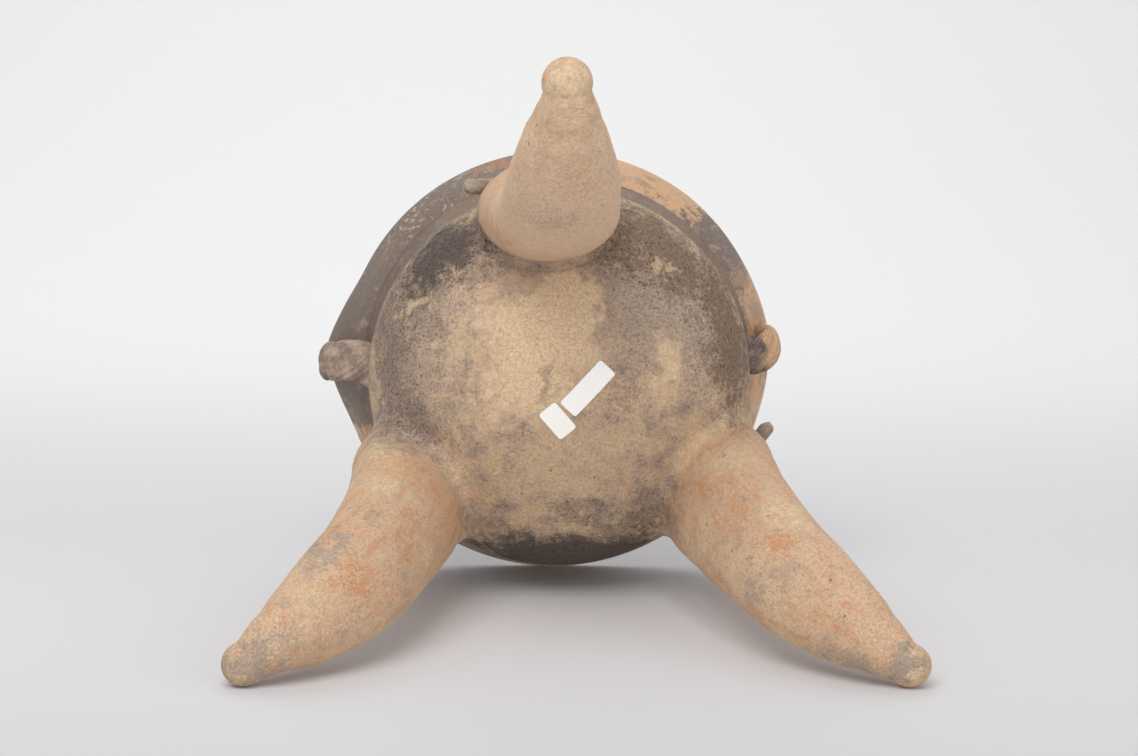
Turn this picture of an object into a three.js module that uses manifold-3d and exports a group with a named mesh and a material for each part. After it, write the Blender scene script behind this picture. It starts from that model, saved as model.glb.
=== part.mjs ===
// Tripod rattle vessel: a round-bottomed clay bowl on three hollow legs with loose pellets inside
import * as THREE from 'three';
import { mergeVertices } from 'three/addons/utils/BufferGeometryUtils.js';
import Module from 'manifold-3d';

const wasm = await Module();
wasm.setup();

// Sizes are in millimetres: heights from the floor, radii from the vessel's upright axis
const SEAM_GAP = 0.3;
const TURN_STEPS = 52;
const HALVINGS = 30;
const NORMAL_STEP = 0.004;

// Bowl
const BOWL_RADIUS = 75;
const BOWL_DEPTH = 52;
const BOWL_WALL = 6;
const BOWL_ARC_STEPS = 9;
const SHOULDER_HEIGHT = 168.5;
const SHOULDER_RISE = 2.5;
const SHOULDER_INSET = 0.8;

// Neck band, a ring of clay that leans out from the shoulder
const NECK_RISE = 16;
const NECK_FLARE = 3;
const NECK_WALL = 6.5;
const NECK_BENDS = [
  { up: 0.25, out: -0.03 },
  { up: 0.55, out: 0.22 },
];

// Rim band, folded out over the neck, with its edge drawn out over each handle
const RIM_RISE = 16.5;
const RIM_OVERHANG = 8;
const RIM_FOLD = 2.2;
const RIM_LIP = 7;
const RIM_STEPS = 78;
const RIM_OUTSIDE = [
  { up: 0.12, out: 0 },
  { up: 0.5, out: 0.65 },
  { up: 0.82, out: 1 },
];
const RIM_CREST = [
  { up: 0.95, in: 0.12 },
  { up: 1, in: 0.45 },
  { up: 0.92, in: 1 },
];
const RIM_INSIDE = { up: 0.5, out: 0.45 };
const EAR_SPREAD_DEG = 23;
const EAR_ROUNDING = 0.12;
const EAR_POINT = 1.5;

// Legs, each a horn of oval section that bends outwards on its way down
const LEG_INSET = 6;
const LEG_ROOT_DROP = 20.5;
const FOOT_REACH = 128.5;
const LEG_FLATNESS = 0.7;
const LEG_WALL = 5;
const LEG_SIDES = 20;
const LEG_STEPS = 15;
const LEG_HALF_WIDTH = 26.5;
const LEG_STATIONS = [
  { down: -0.09, out: -0.29, girth: 0.755 },
  { down: 0, out: 0, girth: 1 },
  { down: 0.18, out: 0.045, girth: 0.97 },
  { down: 0.35, out: 0.095, girth: 0.89 },
  { down: 0.53, out: 0.185, girth: 0.823 },
  { down: 0.68, out: 0.285, girth: 0.766 },
  { down: 0.81, out: 0.45, girth: 0.706 },
  { down: 0.93, out: 0.71, girth: 0.52 },
  { down: 0.97, out: 0.83, girth: 0.4 },
];
const ROUND_FROM = 0.62;
const CAVITY_TAPER_FROM = 0.68;
const CAVITY_END = 0.84;

// Rattle slit in the outer face of each leg
const SLIT_WIDTH = 5;
const SLIT_LENGTH = 46;
const SLIT_HEIGHT = 82;

// Rounded nub that each leg stands on, worn flat underneath
const NUB_DRAW_IN = 0.5;
const NUB_WEAR = 0.6;
const NUB_STEPS = 6;

// Wedge of soft clay that lutes a leg to the bowl
const FILLET_REACH = 5;
const FILLET_THROAT = 0.3;
const FILLET_SIDES = 36;

// Clay roll laid over the top of each leg
const ROLL_RADIUS = 3.2;
const ROLL_FROM_DEG = -21.5;
const ROLL_TO_DEG = 9;
const ROLL_RISE = 2.5;
const ROLL_END_LIFT = 6;
const ROLL_LIFT_FROM = 0.55;
const ROLL_TIP = 0.3;
const ROLL_STEPS = 13;
const ROLL_SIDES = 10;

// Twisted strap handle, from under the rim's ear down to the shoulder
const STRAP_HALF_WIDTH = 6.3;
const STRAP_HALF_DEPTH = 3.6;
const STRAP_SPREAD = 1.6;
const STRAP_OVERHANG = 0.6;
const STRAP_TUCK = 0.7;
const STRAP_CROOK = 0.05;
const STRAP_LOW_BEND = { out: 0.72, up: 0.35 };
const STRAP_TURNS = 4;
const STRAP_RIB = 0.55;
const STRAP_SLANT = 1.6;
const STRAP_STEPS = 26;
const STRAP_SIDES = 12;

// Clay pellets, each free to run along its own lane of the hollow leg
const PELLETS = [
  { radius: 4.2, aside: 0 },
  { radius: 3.9, aside: 8.6 },
  { radius: 3.6, aside: -8.4 },
];
const PELLET_SQUASH = 0.93;
const LANE_FOOT = 0.735;
const LANE_HEAD = 0.26;
const LANE_FOOT_INSET = 1.5;
const LANE_SEARCH = 16;

// Paper labels stuck under the bowl
const LABEL_THICKNESS = 0.25;

const LEGS = [
  { name: 'front', rootDeg: 266, footDeg: 268.7, nubRadius: 8.3 },
  { name: 'left', rootDeg: 146.7, footDeg: 151.9, nubRadius: 7.4 },
  { name: 'right', rootDeg: 34.3, footDeg: 32.2, nubRadius: 7.5 },
];
const HANDLES = [
  { name: 'left', deg: 184.5, reach: 8.4 },
  { name: 'right', deg: 354, reach: 1.8 },
];
const LABELS = [
  { name: 'long', length: 22, width: 8, x: 8.2, y: -6.2, turnDeg: -45 },
  { name: 'short', length: 12.8, width: 8, x: -3.3, y: 5.8, turnDeg: 51 },
];

const CLAY = {
  bowl: new THREE.MeshStandardMaterial({ color: 0x8a7767, roughness: 0.8, metalness: 0 }),
  neck: new THREE.MeshStandardMaterial({ color: 0x6f5f54, roughness: 0.6, metalness: 0 }),
  rim: new THREE.MeshStandardMaterial({ color: 0x6b5f56, roughness: 0.5, metalness: 0 }),
  leg: new THREE.MeshStandardMaterial({ color: 0xc09c7c, roughness: 0.85, metalness: 0 }),
  nub: new THREE.MeshStandardMaterial({ color: 0xb29678, roughness: 0.85, metalness: 0 }),
  trim: new THREE.MeshStandardMaterial({ color: 0x8f8273, roughness: 0.85, metalness: 0 }),
  pellet: new THREE.MeshStandardMaterial({ color: 0xb98a66, roughness: 0.9, metalness: 0 }),
};
const PAPER = new THREE.MeshStandardMaterial({ color: 0xf0efea, roughness: 0.6, metalness: 0 });

const NECK_FOOT = SHOULDER_HEIGHT + SHOULDER_RISE;
const NECK_TOP = NECK_FOOT + NECK_RISE;
const NECK_TOP_RADIUS = BOWL_RADIUS + NECK_FLARE;
const RIM_RADIUS = NECK_TOP_RADIUS + RIM_OVERHANG;
const RIM_FOOT = NECK_TOP + SEAM_GAP;
const RIM_TOP = RIM_FOOT + RIM_RISE;
const RIM_HOLE_RADIUS = NECK_TOP_RADIUS - NECK_WALL;
const LEG_ROOT = { out: BOWL_RADIUS - LEG_INSET, up: SHOULDER_HEIGHT - LEG_ROOT_DROP };
const ANKLE_HEIGHT = LEGS[0].nubRadius - NUB_WEAR;

const radians = (degrees) => THREE.MathUtils.degToRad(degrees);
const mix = (a, b, t) => THREE.MathUtils.lerp(a, b, t);

// Evenly spread shares from 0 to 1, or closer together towards both ends
const evenShares = (steps) => Array.from({ length: steps + 1 }, (_, i) => i / steps);
const endShares = (steps) => evenShares(steps).map((share) => (1 - Math.cos(share * Math.PI)) / 2);
const turnsOf = (sides) => Array.from({ length: sides }, (_, j) => (j / sides) * Math.PI * 2);

function toSolid(geometry) {
  const bare = geometry.clone();
  bare.deleteAttribute('normal');
  bare.deleteAttribute('uv');
  const merged = mergeVertices(bare, 1e-4);
  const vertProperties = new Float32Array(merged.attributes.position.array);
  const triVerts = new Uint32Array(merged.index.array);
  return new wasm.Manifold(new wasm.Mesh({ numProp: 3, vertProperties, triVerts }));
}

function toGeometry(solid) {
  const mesh = solid.getMesh();
  const geometry = new THREE.BufferGeometry();
  geometry.setAttribute('position', new THREE.BufferAttribute(new Float32Array(mesh.vertProperties), 3));
  geometry.setIndex(new THREE.BufferAttribute(new Uint32Array(mesh.triVerts), 1));
  geometry.computeVertexNormals();
  return geometry;
}

// Cuts a solid by its neighbours and keeps the largest piece, without crumbs
function mainPiece(solid, neighbours) {
  const rest = neighbours.reduce((left, neighbour) => left.subtract(neighbour), solid);
  return rest.decompose().sort((a, b) => b.volume() - a.volume())[0];
}

// Closes a skin over rings of points that follow one another, with a fan over each end
function skin(rings) {
  const sides = rings[0].length;
  const points = rings.flat();
  const middle = (ring) => ring.reduce((sum, p) => sum.add(p), new THREE.Vector3()).divideScalar(sides);
  points.push(middle(rings[0]), middle(rings[rings.length - 1]));
  const start = points.length - 2;
  const index = [];
  for (let i = 0; i + 1 < rings.length; i += 1) {
    for (let j = 0; j < sides; j += 1) {
      const a = i * sides + j;
      const b = i * sides + ((j + 1) % sides);
      index.push(a, b, a + sides, b, b + sides, a + sides);
    }
  }
  const last = (rings.length - 1) * sides;
  for (let j = 0; j < sides; j += 1) {
    const next = (j + 1) % sides;
    index.push(start, next, j);
    index.push(start + 1, last + j, last + next);
  }
  return indexed(points, index);
}

// Joins rings of points round a closed loop, as a ring or wreath
function wreath(rings) {
  const sides = rings[0].length;
  const index = [];
  for (let i = 0; i < rings.length; i += 1) {
    const next = (i + 1) % rings.length;
    for (let j = 0; j < sides; j += 1) {
      const a = i * sides + j;
      const b = i * sides + ((j + 1) % sides);
      const c = next * sides + j;
      const d = next * sides + ((j + 1) % sides);
      index.push(a, b, c, b, d, c);
    }
  }
  return indexed(rings.flat(), index);
}

// Turns the faces out if the enclosed volume comes out negative
function indexed(points, index) {
  const geometry = new THREE.BufferGeometry().setFromPoints(points);
  let volume = 0;
  for (let i = 0; i < index.length; i += 3) {
    const [a, b, c] = [points[index[i]], points[index[i + 1]], points[index[i + 2]]];
    volume += a.dot(new THREE.Vector3().crossVectors(b, c));
  }
  if (volume < 0) index.reverse();
  geometry.setIndex(index);
  return geometry;
}

// Moves a profile's points outwards along its normals, keeping those on the axis there
function grown(profile, grow) {
  return profile.map((p, i) => {
    const before = profile[Math.max(i - 1, 0)];
    const after = profile[Math.min(i + 1, profile.length - 1)];
    const along = new THREE.Vector2().subVectors(after, before).normalize();
    const moved = new THREE.Vector2(p.x + along.y * grow, p.y - along.x * grow);
    if (p.x === 0) moved.x = 0;
    return moved;
  });
}

function turned(profile, steps) {
  return new THREE.LatheGeometry(profile, steps).rotateX(Math.PI / 2);
}

// Quarter of an ellipse, from the axis below up to the widest place
function bowlArc(radius, depth) {
  const points = [];
  for (let i = 0; i <= BOWL_ARC_STEPS; i += 1) {
    const angle = (i / BOWL_ARC_STEPS) * Math.PI / 2;
    points.push(new THREE.Vector2(radius * Math.sin(angle), SHOULDER_HEIGHT - depth * Math.cos(angle)));
  }
  points[0].x = 0;
  return points;
}

function bowlOutside() {
  return [...bowlArc(BOWL_RADIUS, BOWL_DEPTH), new THREE.Vector2(BOWL_RADIUS - SHOULDER_INSET, NECK_FOOT)];
}

function bowlBody() {
  const inside = bowlArc(BOWL_RADIUS - BOWL_WALL, BOWL_DEPTH - BOWL_WALL);
  inside.push(new THREE.Vector2(BOWL_RADIUS - BOWL_WALL, NECK_FOOT));
  return turned([...bowlOutside(), ...inside.reverse()], TURN_STEPS);
}

function neckOutside() {
  const foot = BOWL_RADIUS - SHOULDER_INSET;
  const low = NECK_FOOT + SEAM_GAP;
  return [
    new THREE.Vector2(foot, low),
    ...NECK_BENDS.map(({ up, out }) => (
      new THREE.Vector2(mix(foot, NECK_TOP_RADIUS, out), mix(low, NECK_TOP, up)))),
    new THREE.Vector2(NECK_TOP_RADIUS, NECK_TOP),
  ];
}

function neckBand() {
  const outside = neckOutside();
  const inside = outside.map((p) => new THREE.Vector2(p.x - NECK_WALL, p.y)).reverse();
  return turned([...outside, ...inside, outside[0]], TURN_STEPS);
}

const rimHeight = (up) => mix(RIM_FOOT, RIM_TOP, up);

function rimProfile() {
  const fold = NECK_TOP_RADIUS + RIM_FOLD;
  const lipInside = RIM_RADIUS - RIM_LIP;
  return [
    new THREE.Vector2(NECK_TOP_RADIUS - SHOULDER_INSET, RIM_FOOT),
    ...RIM_OUTSIDE.map(({ up, out }) => new THREE.Vector2(mix(fold, RIM_RADIUS, out), rimHeight(up))),
    ...RIM_CREST.map((at) => new THREE.Vector2(RIM_RADIUS - RIM_LIP * at.in, rimHeight(at.up))),
    new THREE.Vector2(mix(RIM_HOLE_RADIUS, lipInside, RIM_INSIDE.out), rimHeight(RIM_INSIDE.up)),
    new THREE.Vector2(RIM_HOLE_RADIUS, RIM_FOOT),
  ];
}

// The smaller angle between a direction round the axis and a handle
function turnFrom(handle, angle) {
  const turn = angle - radians(handle.deg);
  return Math.abs(Math.atan2(Math.sin(turn), Math.cos(turn)));
}

// How far the rim is drawn out at an angle round the vessel: a soft point over each handle
function earReach(angle) {
  return HANDLES.reduce((sum, handle) => {
    const off = turnFrom(handle, angle) / radians(EAR_SPREAD_DEG);
    const near = Math.min(Math.hypot(off, EAR_ROUNDING), 1);
    return sum + handle.reach * (1 - near) ** EAR_POINT;
  }, 0);
}

// The ring is drawn out fully at its edge and not at all at its foot or round its hole
function rimBand(grow = 0) {
  const profile = rimProfile();
  const ring = grow ? grown(profile, grow) : profile;
  const geometry = turned([...ring, ring[0]], RIM_STEPS);
  const place = geometry.attributes.position;
  const edge = rimHeight(RIM_OUTSIDE[RIM_OUTSIDE.length - 1].up);
  for (let i = 0; i < place.count; i += 1) {
    const radius = Math.hypot(place.getX(i), place.getY(i));
    const share = THREE.MathUtils.smoothstep(place.getZ(i), RIM_FOOT, edge);
    const drawn = radius > RIM_HOLE_RADIUS ? earReach(Math.atan2(place.getY(i), place.getX(i))) * share : 0;
    const scale = (radius + drawn) / radius;
    place.setXY(i, place.getX(i) * scale, place.getY(i) * scale);
  }
  return geometry;
}

// The vessel's outside up to the neck's top, as one plug that neighbours are cut by
function vesselPlug(grow) {
  const outside = grown([...bowlOutside(), ...neckOutside()], grow);
  outside.push(new THREE.Vector2(outside[outside.length - 1].x, RIM_TOP), new THREE.Vector2(0, RIM_TOP));
  return toSolid(turned(outside, TURN_STEPS));
}

const legLine = new THREE.CatmullRomCurve3(LEG_STATIONS.map(({ down, out }) => new THREE.Vector3(
  mix(LEG_ROOT.out, FOOT_REACH, out),
  0,
  mix(LEG_ROOT.up, ANKLE_HEIGHT, down),
)));
const legGirth = new THREE.SplineCurve(LEG_STATIONS.map(({ girth }, i) => (
  new THREE.Vector2(i, girth * LEG_HALF_WIDTH))));

function legTurn(leg, share) {
  return radians(mix(leg.rootDeg, leg.footDeg, share));
}

// A point in the upright plane of a leg, turned to where the leg stands round the axis
function stand(leg, share, out, side, up) {
  return new THREE.Vector3(out, side, up).applyAxisAngle(new THREE.Vector3(0, 0, 1), legTurn(leg, share));
}

// A point on a leg's skin: share runs from the top down, around is 0 on the outer face
function legPoint(leg, share, around, grow = 0, shrink = 1) {
  const centre = legLine.getPoint(share);
  const along = legLine.getTangent(share);
  const half = legGirth.getPoint(share).y;
  const depthRatio = mix(LEG_FLATNESS, 1, THREE.MathUtils.smoothstep(share, ROUND_FROM, 1));
  const depth = (half * depthRatio + grow) * shrink * Math.cos(around);
  const side = (half + grow) * shrink * Math.sin(around);
  return stand(leg, share, centre.x - along.z * depth, side, centre.z + along.x * depth);
}

function legRing(leg, share, grow, shrink) {
  return turnsOf(LEG_SIDES).map((around) => legPoint(leg, share, around, grow, shrink));
}

function legHorn(leg, grow = 0) {
  return toSolid(skin(evenShares(LEG_STEPS).map((share) => legRing(leg, share, grow, 1))));
}

// The hollow's end is rounded, so the last ring is the one before it closes
function legHollow(leg) {
  const rings = evenShares(LEG_STEPS).slice(0, -1).map((step) => {
    const share = step * CAVITY_END;
    const taper = Math.max(share - CAVITY_TAPER_FROM, 0) / (CAVITY_END - CAVITY_TAPER_FROM);
    return legRing(leg, share, -LEG_WALL, Math.sqrt(1 - taper ** 2));
  });
  return toSolid(skin(rings));
}

// Halves the span between a share that passes the test and one that doesn't
function halve(passes, fails, test) {
  let [inside, outside] = [passes, fails];
  for (let i = 0; i < HALVINGS; i += 1) {
    const middle = (inside + outside) / 2;
    if (test(middle)) inside = middle;
    else outside = middle;
  }
  return outside;
}

// Long opening with round ends, through the outer wall only
function legSlit(leg) {
  const half = SLIT_LENGTH / 2 - SLIT_WIDTH / 2;
  const outline = new THREE.Shape();
  outline.absarc(0, half, SLIT_WIDTH / 2, 0, Math.PI, false);
  outline.absarc(0, -half, SLIT_WIDTH / 2, Math.PI, Math.PI * 2, false);
  outline.closePath();
  const depth = FOOT_REACH;
  const cutter = new THREE.ExtrudeGeometry(outline, { depth, bevelEnabled: false, curveSegments: 6 });
  const share = halve(0, 1, (down) => legLine.getPoint(down).z > SLIT_HEIGHT);
  cutter.rotateX(Math.PI / 2).rotateZ(Math.PI / 2);
  cutter.translate(legLine.getPoint(share).x, 0, SLIT_HEIGHT).rotateZ(legTurn(leg, share));
  return toSolid(cutter);
}

function legShell(leg, cuts) {
  return toGeometry(mainPiece(legHorn(leg), cuts));
}

// Solid end of the leg: drawn in to a waist, then round, and cut flat where it stands
function nubFoot(leg) {
  const end = legLine.getPoint(1);
  const start = legLine.getTangent(1);
  const centre = new THREE.Vector3(FOOT_REACH, 0, leg.nubRadius - NUB_WEAR);
  const line = new THREE.QuadraticBezierCurve3(
    end.clone().addScaledVector(start, SEAM_GAP),
    end.clone().addScaledVector(start, end.distanceTo(centre) / 2),
    centre,
  );
  const root = legGirth.getPoint(1).y;
  const rings = [];
  const ring = (middle, along, radius) => turnsOf(LEG_SIDES).map((around) => {
    const depth = radius * Math.cos(around);
    return stand(leg, 1, middle.x - along.z * depth, radius * Math.sin(around), middle.z + along.x * depth);
  });
  for (let i = 0; i <= NUB_STEPS; i += 1) {
    const share = i / NUB_STEPS;
    const waist = mix(root, leg.nubRadius - NUB_DRAW_IN, THREE.MathUtils.smoothstep(share, 0, 0.75));
    const radius = mix(waist, leg.nubRadius, THREE.MathUtils.smoothstep(share, 0.6, 1));
    rings.push(ring(line.getPoint(share), line.getTangent(share), radius));
  }
  const out = line.getTangent(1);
  for (let i = 1; i < NUB_STEPS; i += 1) {
    const angle = (i / NUB_STEPS) * Math.PI / 2;
    rings.push(ring(
      centre.clone().addScaledVector(out, leg.nubRadius * Math.sin(angle)),
      out,
      leg.nubRadius * Math.cos(angle),
    ));
  }
  const tip = leg.nubRadius * 4;
  const below = new THREE.BoxGeometry(tip, tip, tip);
  const foot = stand(leg, 1, FOOT_REACH, 0, -tip / 2);
  below.translate(foot.x, foot.y, foot.z);
  return toGeometry(toSolid(skin(rings)).subtract(toSolid(below)));
}

// Negative inside the bowl's rounded underside, and inside its wall above the shoulder
function bowlSide(p) {
  const radius = Math.hypot(p.x, p.y);
  if (p.z >= SHOULDER_HEIGHT) return radius - BOWL_RADIUS;
  return Math.hypot(radius / BOWL_RADIUS, (SHOULDER_HEIGHT - p.z) / BOWL_DEPTH) - 1;
}

function bowlNormal(p) {
  const down = Math.min(p.z - SHOULDER_HEIGHT, 0) / BOWL_DEPTH ** 2;
  return new THREE.Vector3(p.x / BOWL_RADIUS ** 2, p.y / BOWL_RADIUS ** 2, down).normalize();
}

function legNormal(leg, share, around) {
  const along = legPoint(leg, share + NORMAL_STEP, around).sub(legPoint(leg, share - NORMAL_STEP, around));
  const round = legPoint(leg, share, around + NORMAL_STEP).sub(legPoint(leg, share, around - NORMAL_STEP));
  return new THREE.Vector3().crossVectors(along, round).normalize();
}

// Where the leg's skin leaves the bowl
function legSeam(leg, around) {
  return halve(0, LANE_FOOT, (share) => bowlSide(legPoint(leg, share, around)) < 0);
}

// Grown, it also reaches back into the seam, so that it serves as a cutter
function lutingFillet(leg, grow = 0) {
  const rings = turnsOf(FILLET_SIDES).map((around) => {
    const share = legSeam(leg, around);
    const seam = legPoint(leg, share, around);
    const offBowl = bowlNormal(seam);
    const offLeg = legNormal(leg, share, around);
    const lean = offBowl.dot(offLeg);
    const alongBowl = offLeg.clone().addScaledVector(offBowl, -lean).normalize();
    const alongLeg = offBowl.clone().addScaledVector(offLeg, -lean).normalize();
    const off = (SEAM_GAP - grow) / (1 + lean);
    const corner = seam.clone().addScaledVector(offBowl, off).addScaledVector(offLeg, off);
    const at = (bowlWay, legWay) => (
      corner.clone().addScaledVector(alongBowl, bowlWay).addScaledVector(alongLeg, legWay));
    const reach = FILLET_REACH + 4 * grow;
    const throat = FILLET_REACH * FILLET_THROAT + 3 * grow;
    return [corner, at(reach, 0), at(throat, throat), at(0, reach)];
  });
  return wreath(rings);
}

// Solid rod along a line, with the outline that section gives at each share of its length
function swept(line, shares, section) {
  return skin(shares.map((share) => section(line.getPoint(share), line.getTangent(share), share)));
}

function clayRoll(leg, neighbours) {
  const points = evenShares(ROLL_STEPS).map((share) => {
    const lift = ROLL_END_LIFT * THREE.MathUtils.smoothstep(share, ROLL_LIFT_FROM, 1);
    const radius = BOWL_RADIUS + ROLL_RADIUS + lift;
    const angle = radians(leg.rootDeg + mix(ROLL_TO_DEG, ROLL_FROM_DEG, share));
    const up = SHOULDER_HEIGHT - ROLL_RISE - lift / 2;
    return new THREE.Vector3(radius * Math.cos(angle), radius * Math.sin(angle), up);
  });
  const line = new THREE.CatmullRomCurve3(points);
  const length = line.getLength();
  const roll = swept(line, endShares(ROLL_STEPS), (centre, along, share) => {
    const fromEnd = Math.min(share, 1 - share) * length;
    const round = Math.max(1 - fromEnd / ROLL_RADIUS, 0);
    const radius = ROLL_RADIUS * Math.max(Math.sqrt(1 - round ** 2), ROLL_TIP);
    const side = new THREE.Vector3().crossVectors(along, new THREE.Vector3(0, 0, 1)).normalize();
    const up = new THREE.Vector3().crossVectors(side, along);
    return turnsOf(ROLL_SIDES).map((around) => centre.clone()
      .addScaledVector(side, radius * Math.cos(around))
      .addScaledVector(up, radius * Math.sin(around)));
  });
  return toGeometry(mainPiece(toSolid(roll), neighbours));
}

// The twist shows as slanting ribs that swell the strap and slim it again
function strapHandle(handle, neighbours) {
  const earEdge = RIM_RADIUS + handle.reach;
  const line = new THREE.CatmullRomCurve3([
    new THREE.Vector3(earEdge - STRAP_OVERHANG - STRAP_HALF_DEPTH, 0, rimHeight(STRAP_TUCK)),
    new THREE.Vector3(earEdge + STRAP_OVERHANG - STRAP_HALF_DEPTH, 0, rimHeight(STRAP_CROOK)),
    new THREE.Vector3(
      mix(BOWL_RADIUS, earEdge, STRAP_LOW_BEND.out),
      0,
      mix(SHOULDER_HEIGHT, NECK_TOP, STRAP_LOW_BEND.up),
    ),
    new THREE.Vector3(BOWL_RADIUS - STRAP_HALF_DEPTH, 0, SHOULDER_HEIGHT - STRAP_HALF_DEPTH / 2),
  ]);
  const strap = swept(line, evenShares(STRAP_STEPS), (centre, along, share) => (
    turnsOf(STRAP_SIDES).map((around) => {
      const slant = share * STRAP_TURNS * Math.PI * 2 + Math.sin(around) * STRAP_SLANT;
      const rib = STRAP_RIB * Math.cos(slant);
      const depth = (STRAP_HALF_DEPTH + rib) * Math.cos(around);
      const side = (STRAP_HALF_WIDTH + STRAP_SPREAD * share + rib) * Math.sin(around);
      return new THREE.Vector3(centre.x - along.z * depth, side, centre.z + along.x * depth);
    })));
  strap.rotateZ(radians(handle.deg));
  return toGeometry(mainPiece(toSolid(strap), neighbours));
}

// The straight lane that a leg's pellets run along, from the ankle up towards the bowl
function pelletLane(leg) {
  const foot = legLine.getPoint(LANE_FOOT);
  const head = legLine.getPoint(LANE_HEAD);
  const low = stand(leg, LANE_FOOT, foot.x - LANE_FOOT_INSET, 0, foot.z);
  const high = stand(leg, LANE_HEAD, head.x, 0, head.z);
  return { low, way: high.clone().sub(low).normalize() };
}

// A pellet lying as low on its lane as the hollow lets it
function pellet(leg, { radius, aside }, hollow) {
  const lane = pelletLane(leg);
  const start = lane.low.clone().add(stand(leg, LANE_FOOT, 0, aside, 0));
  const ball = (size, along) => {
    const centre = start.clone().addScaledVector(lane.way, along);
    const stretch = [size, size * PELLET_SQUASH, size * PELLET_SQUASH];
    return new THREE.IcosahedronGeometry(1, 1).scale(...stretch).translate(centre.x, centre.y, centre.z);
  };
  const lowest = halve(-LANE_SEARCH, LANE_SEARCH, (along) => (
    !toSolid(ball(radius + SEAM_GAP, along)).subtract(hollow).isEmpty()));
  return ball(radius, lowest);
}

// Sheet of paper bent to the bowl's underside
function paperLabel(label) {
  const sheet = new THREE.BoxGeometry(label.length, label.width, LABEL_THICKNESS, 8, 3, 1);
  sheet.rotateZ(radians(label.turnDeg)).translate(label.x, label.y, 0);
  const place = sheet.attributes.position;
  for (let i = 0; i < place.count; i += 1) {
    const out = Math.hypot(place.getX(i), place.getY(i)) / BOWL_RADIUS;
    const surface = SHOULDER_HEIGHT - BOWL_DEPTH * Math.sqrt(1 - out ** 2);
    place.setZ(i, surface - SEAM_GAP - LABEL_THICKNESS / 2 + place.getZ(i));
  }
  return sheet;
}

const vessel = new THREE.Group();

function addPiece(name, geometry, material) {
  const mesh = new THREE.Mesh(geometry, material);
  mesh.name = name;
  vessel.add(mesh);
}

const plug = vesselPlug(SEAM_GAP);
const rimCutter = toSolid(rimBand(SEAM_GAP));

addPiece('bowl_body', bowlBody(), CLAY.bowl);
addPiece('neck_band', neckBand(), CLAY.neck);
addPiece('rim_band', rimBand(), CLAY.rim);
for (const leg of LEGS) {
  const hollow = legHollow(leg);
  const grownFillet = toSolid(lutingFillet(leg, SEAM_GAP));
  addPiece(`leg_shell_${leg.name}`, legShell(leg, [hollow, plug, legSlit(leg)]), CLAY.leg);
  addPiece(`nub_foot_${leg.name}`, nubFoot(leg), CLAY.nub);
  addPiece(`luting_fillet_${leg.name}`, lutingFillet(leg), CLAY.bowl);
  addPiece(`clay_roll_${leg.name}`, clayRoll(leg, [plug, legHorn(leg, SEAM_GAP), grownFillet]), CLAY.trim);
  PELLETS.forEach((size, i) => (
    addPiece(`rattle_pellet_${leg.name}_${i + 1}`, pellet(leg, size, hollow), CLAY.pellet)));
}
for (const handle of HANDLES) {
  addPiece(`strap_handle_${handle.name}`, strapHandle(handle, [plug, rimCutter]), CLAY.trim);
}
for (const label of LABELS) {
  addPiece(`paper_label_${label.name}`, paperLabel(label), PAPER);
}

// The origin is the middle of the vessel's outline, on the floor
const outline = new THREE.Box3().setFromObject(vessel);
const middle = outline.getCenter(new THREE.Vector3());
vessel.position.set(-middle.x, -middle.y, 0);

export default vessel;
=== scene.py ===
"""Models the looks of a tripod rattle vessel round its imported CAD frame.

The vessel stands upright on +Z, in metres.  In the main view it lies on its rim and two of its feet,
with its underside to the camera.  Each operator models one kind of piece and gives it its fired clay
or paper; the last one lays out the floor, the lamps and the camera.
"""

import math
from collections import namedtuple

import bmesh
import bpy
from bpy.props import FloatProperty, FloatVectorProperty, PointerProperty
from mathutils import Matrix, Vector


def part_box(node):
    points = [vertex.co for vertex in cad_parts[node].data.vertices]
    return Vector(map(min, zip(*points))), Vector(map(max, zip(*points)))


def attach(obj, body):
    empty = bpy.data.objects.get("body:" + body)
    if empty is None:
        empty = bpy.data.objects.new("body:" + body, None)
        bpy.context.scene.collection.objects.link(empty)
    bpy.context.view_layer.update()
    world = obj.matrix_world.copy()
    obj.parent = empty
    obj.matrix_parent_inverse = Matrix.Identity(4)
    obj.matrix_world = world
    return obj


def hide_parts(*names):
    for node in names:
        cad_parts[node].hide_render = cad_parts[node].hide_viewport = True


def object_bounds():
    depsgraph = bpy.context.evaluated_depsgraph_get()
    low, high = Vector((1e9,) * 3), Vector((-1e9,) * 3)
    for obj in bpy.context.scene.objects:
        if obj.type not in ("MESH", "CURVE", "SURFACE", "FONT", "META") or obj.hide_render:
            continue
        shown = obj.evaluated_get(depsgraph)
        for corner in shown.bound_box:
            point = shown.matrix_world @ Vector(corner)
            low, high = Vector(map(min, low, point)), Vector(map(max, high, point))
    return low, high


bl_info = {
    "name": "Tripod rattle vessel",
    "version": (1, 0, 0),
    "blender": (4, 5, 0),
    "location": "3D View > Sidebar > Vessel",
    "description": "Models a hand-built clay vessel that stands on three hollow rattle legs",
    "category": "Object",
}

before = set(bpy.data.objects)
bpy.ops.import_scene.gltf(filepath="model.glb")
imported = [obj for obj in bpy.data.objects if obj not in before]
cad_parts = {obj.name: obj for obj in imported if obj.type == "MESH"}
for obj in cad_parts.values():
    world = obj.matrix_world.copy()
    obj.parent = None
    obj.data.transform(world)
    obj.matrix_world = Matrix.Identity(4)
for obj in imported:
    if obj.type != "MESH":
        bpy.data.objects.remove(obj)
CAD_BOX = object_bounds()

BOWL_LOW, BOWL_HIGH = (Vector(corner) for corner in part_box("bowl_body"))
NECK_LOW, NECK_HIGH = (Vector(corner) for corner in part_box("neck_band"))
RIM_LOW, RIM_HIGH = (Vector(corner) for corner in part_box("rim_band"))

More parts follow.
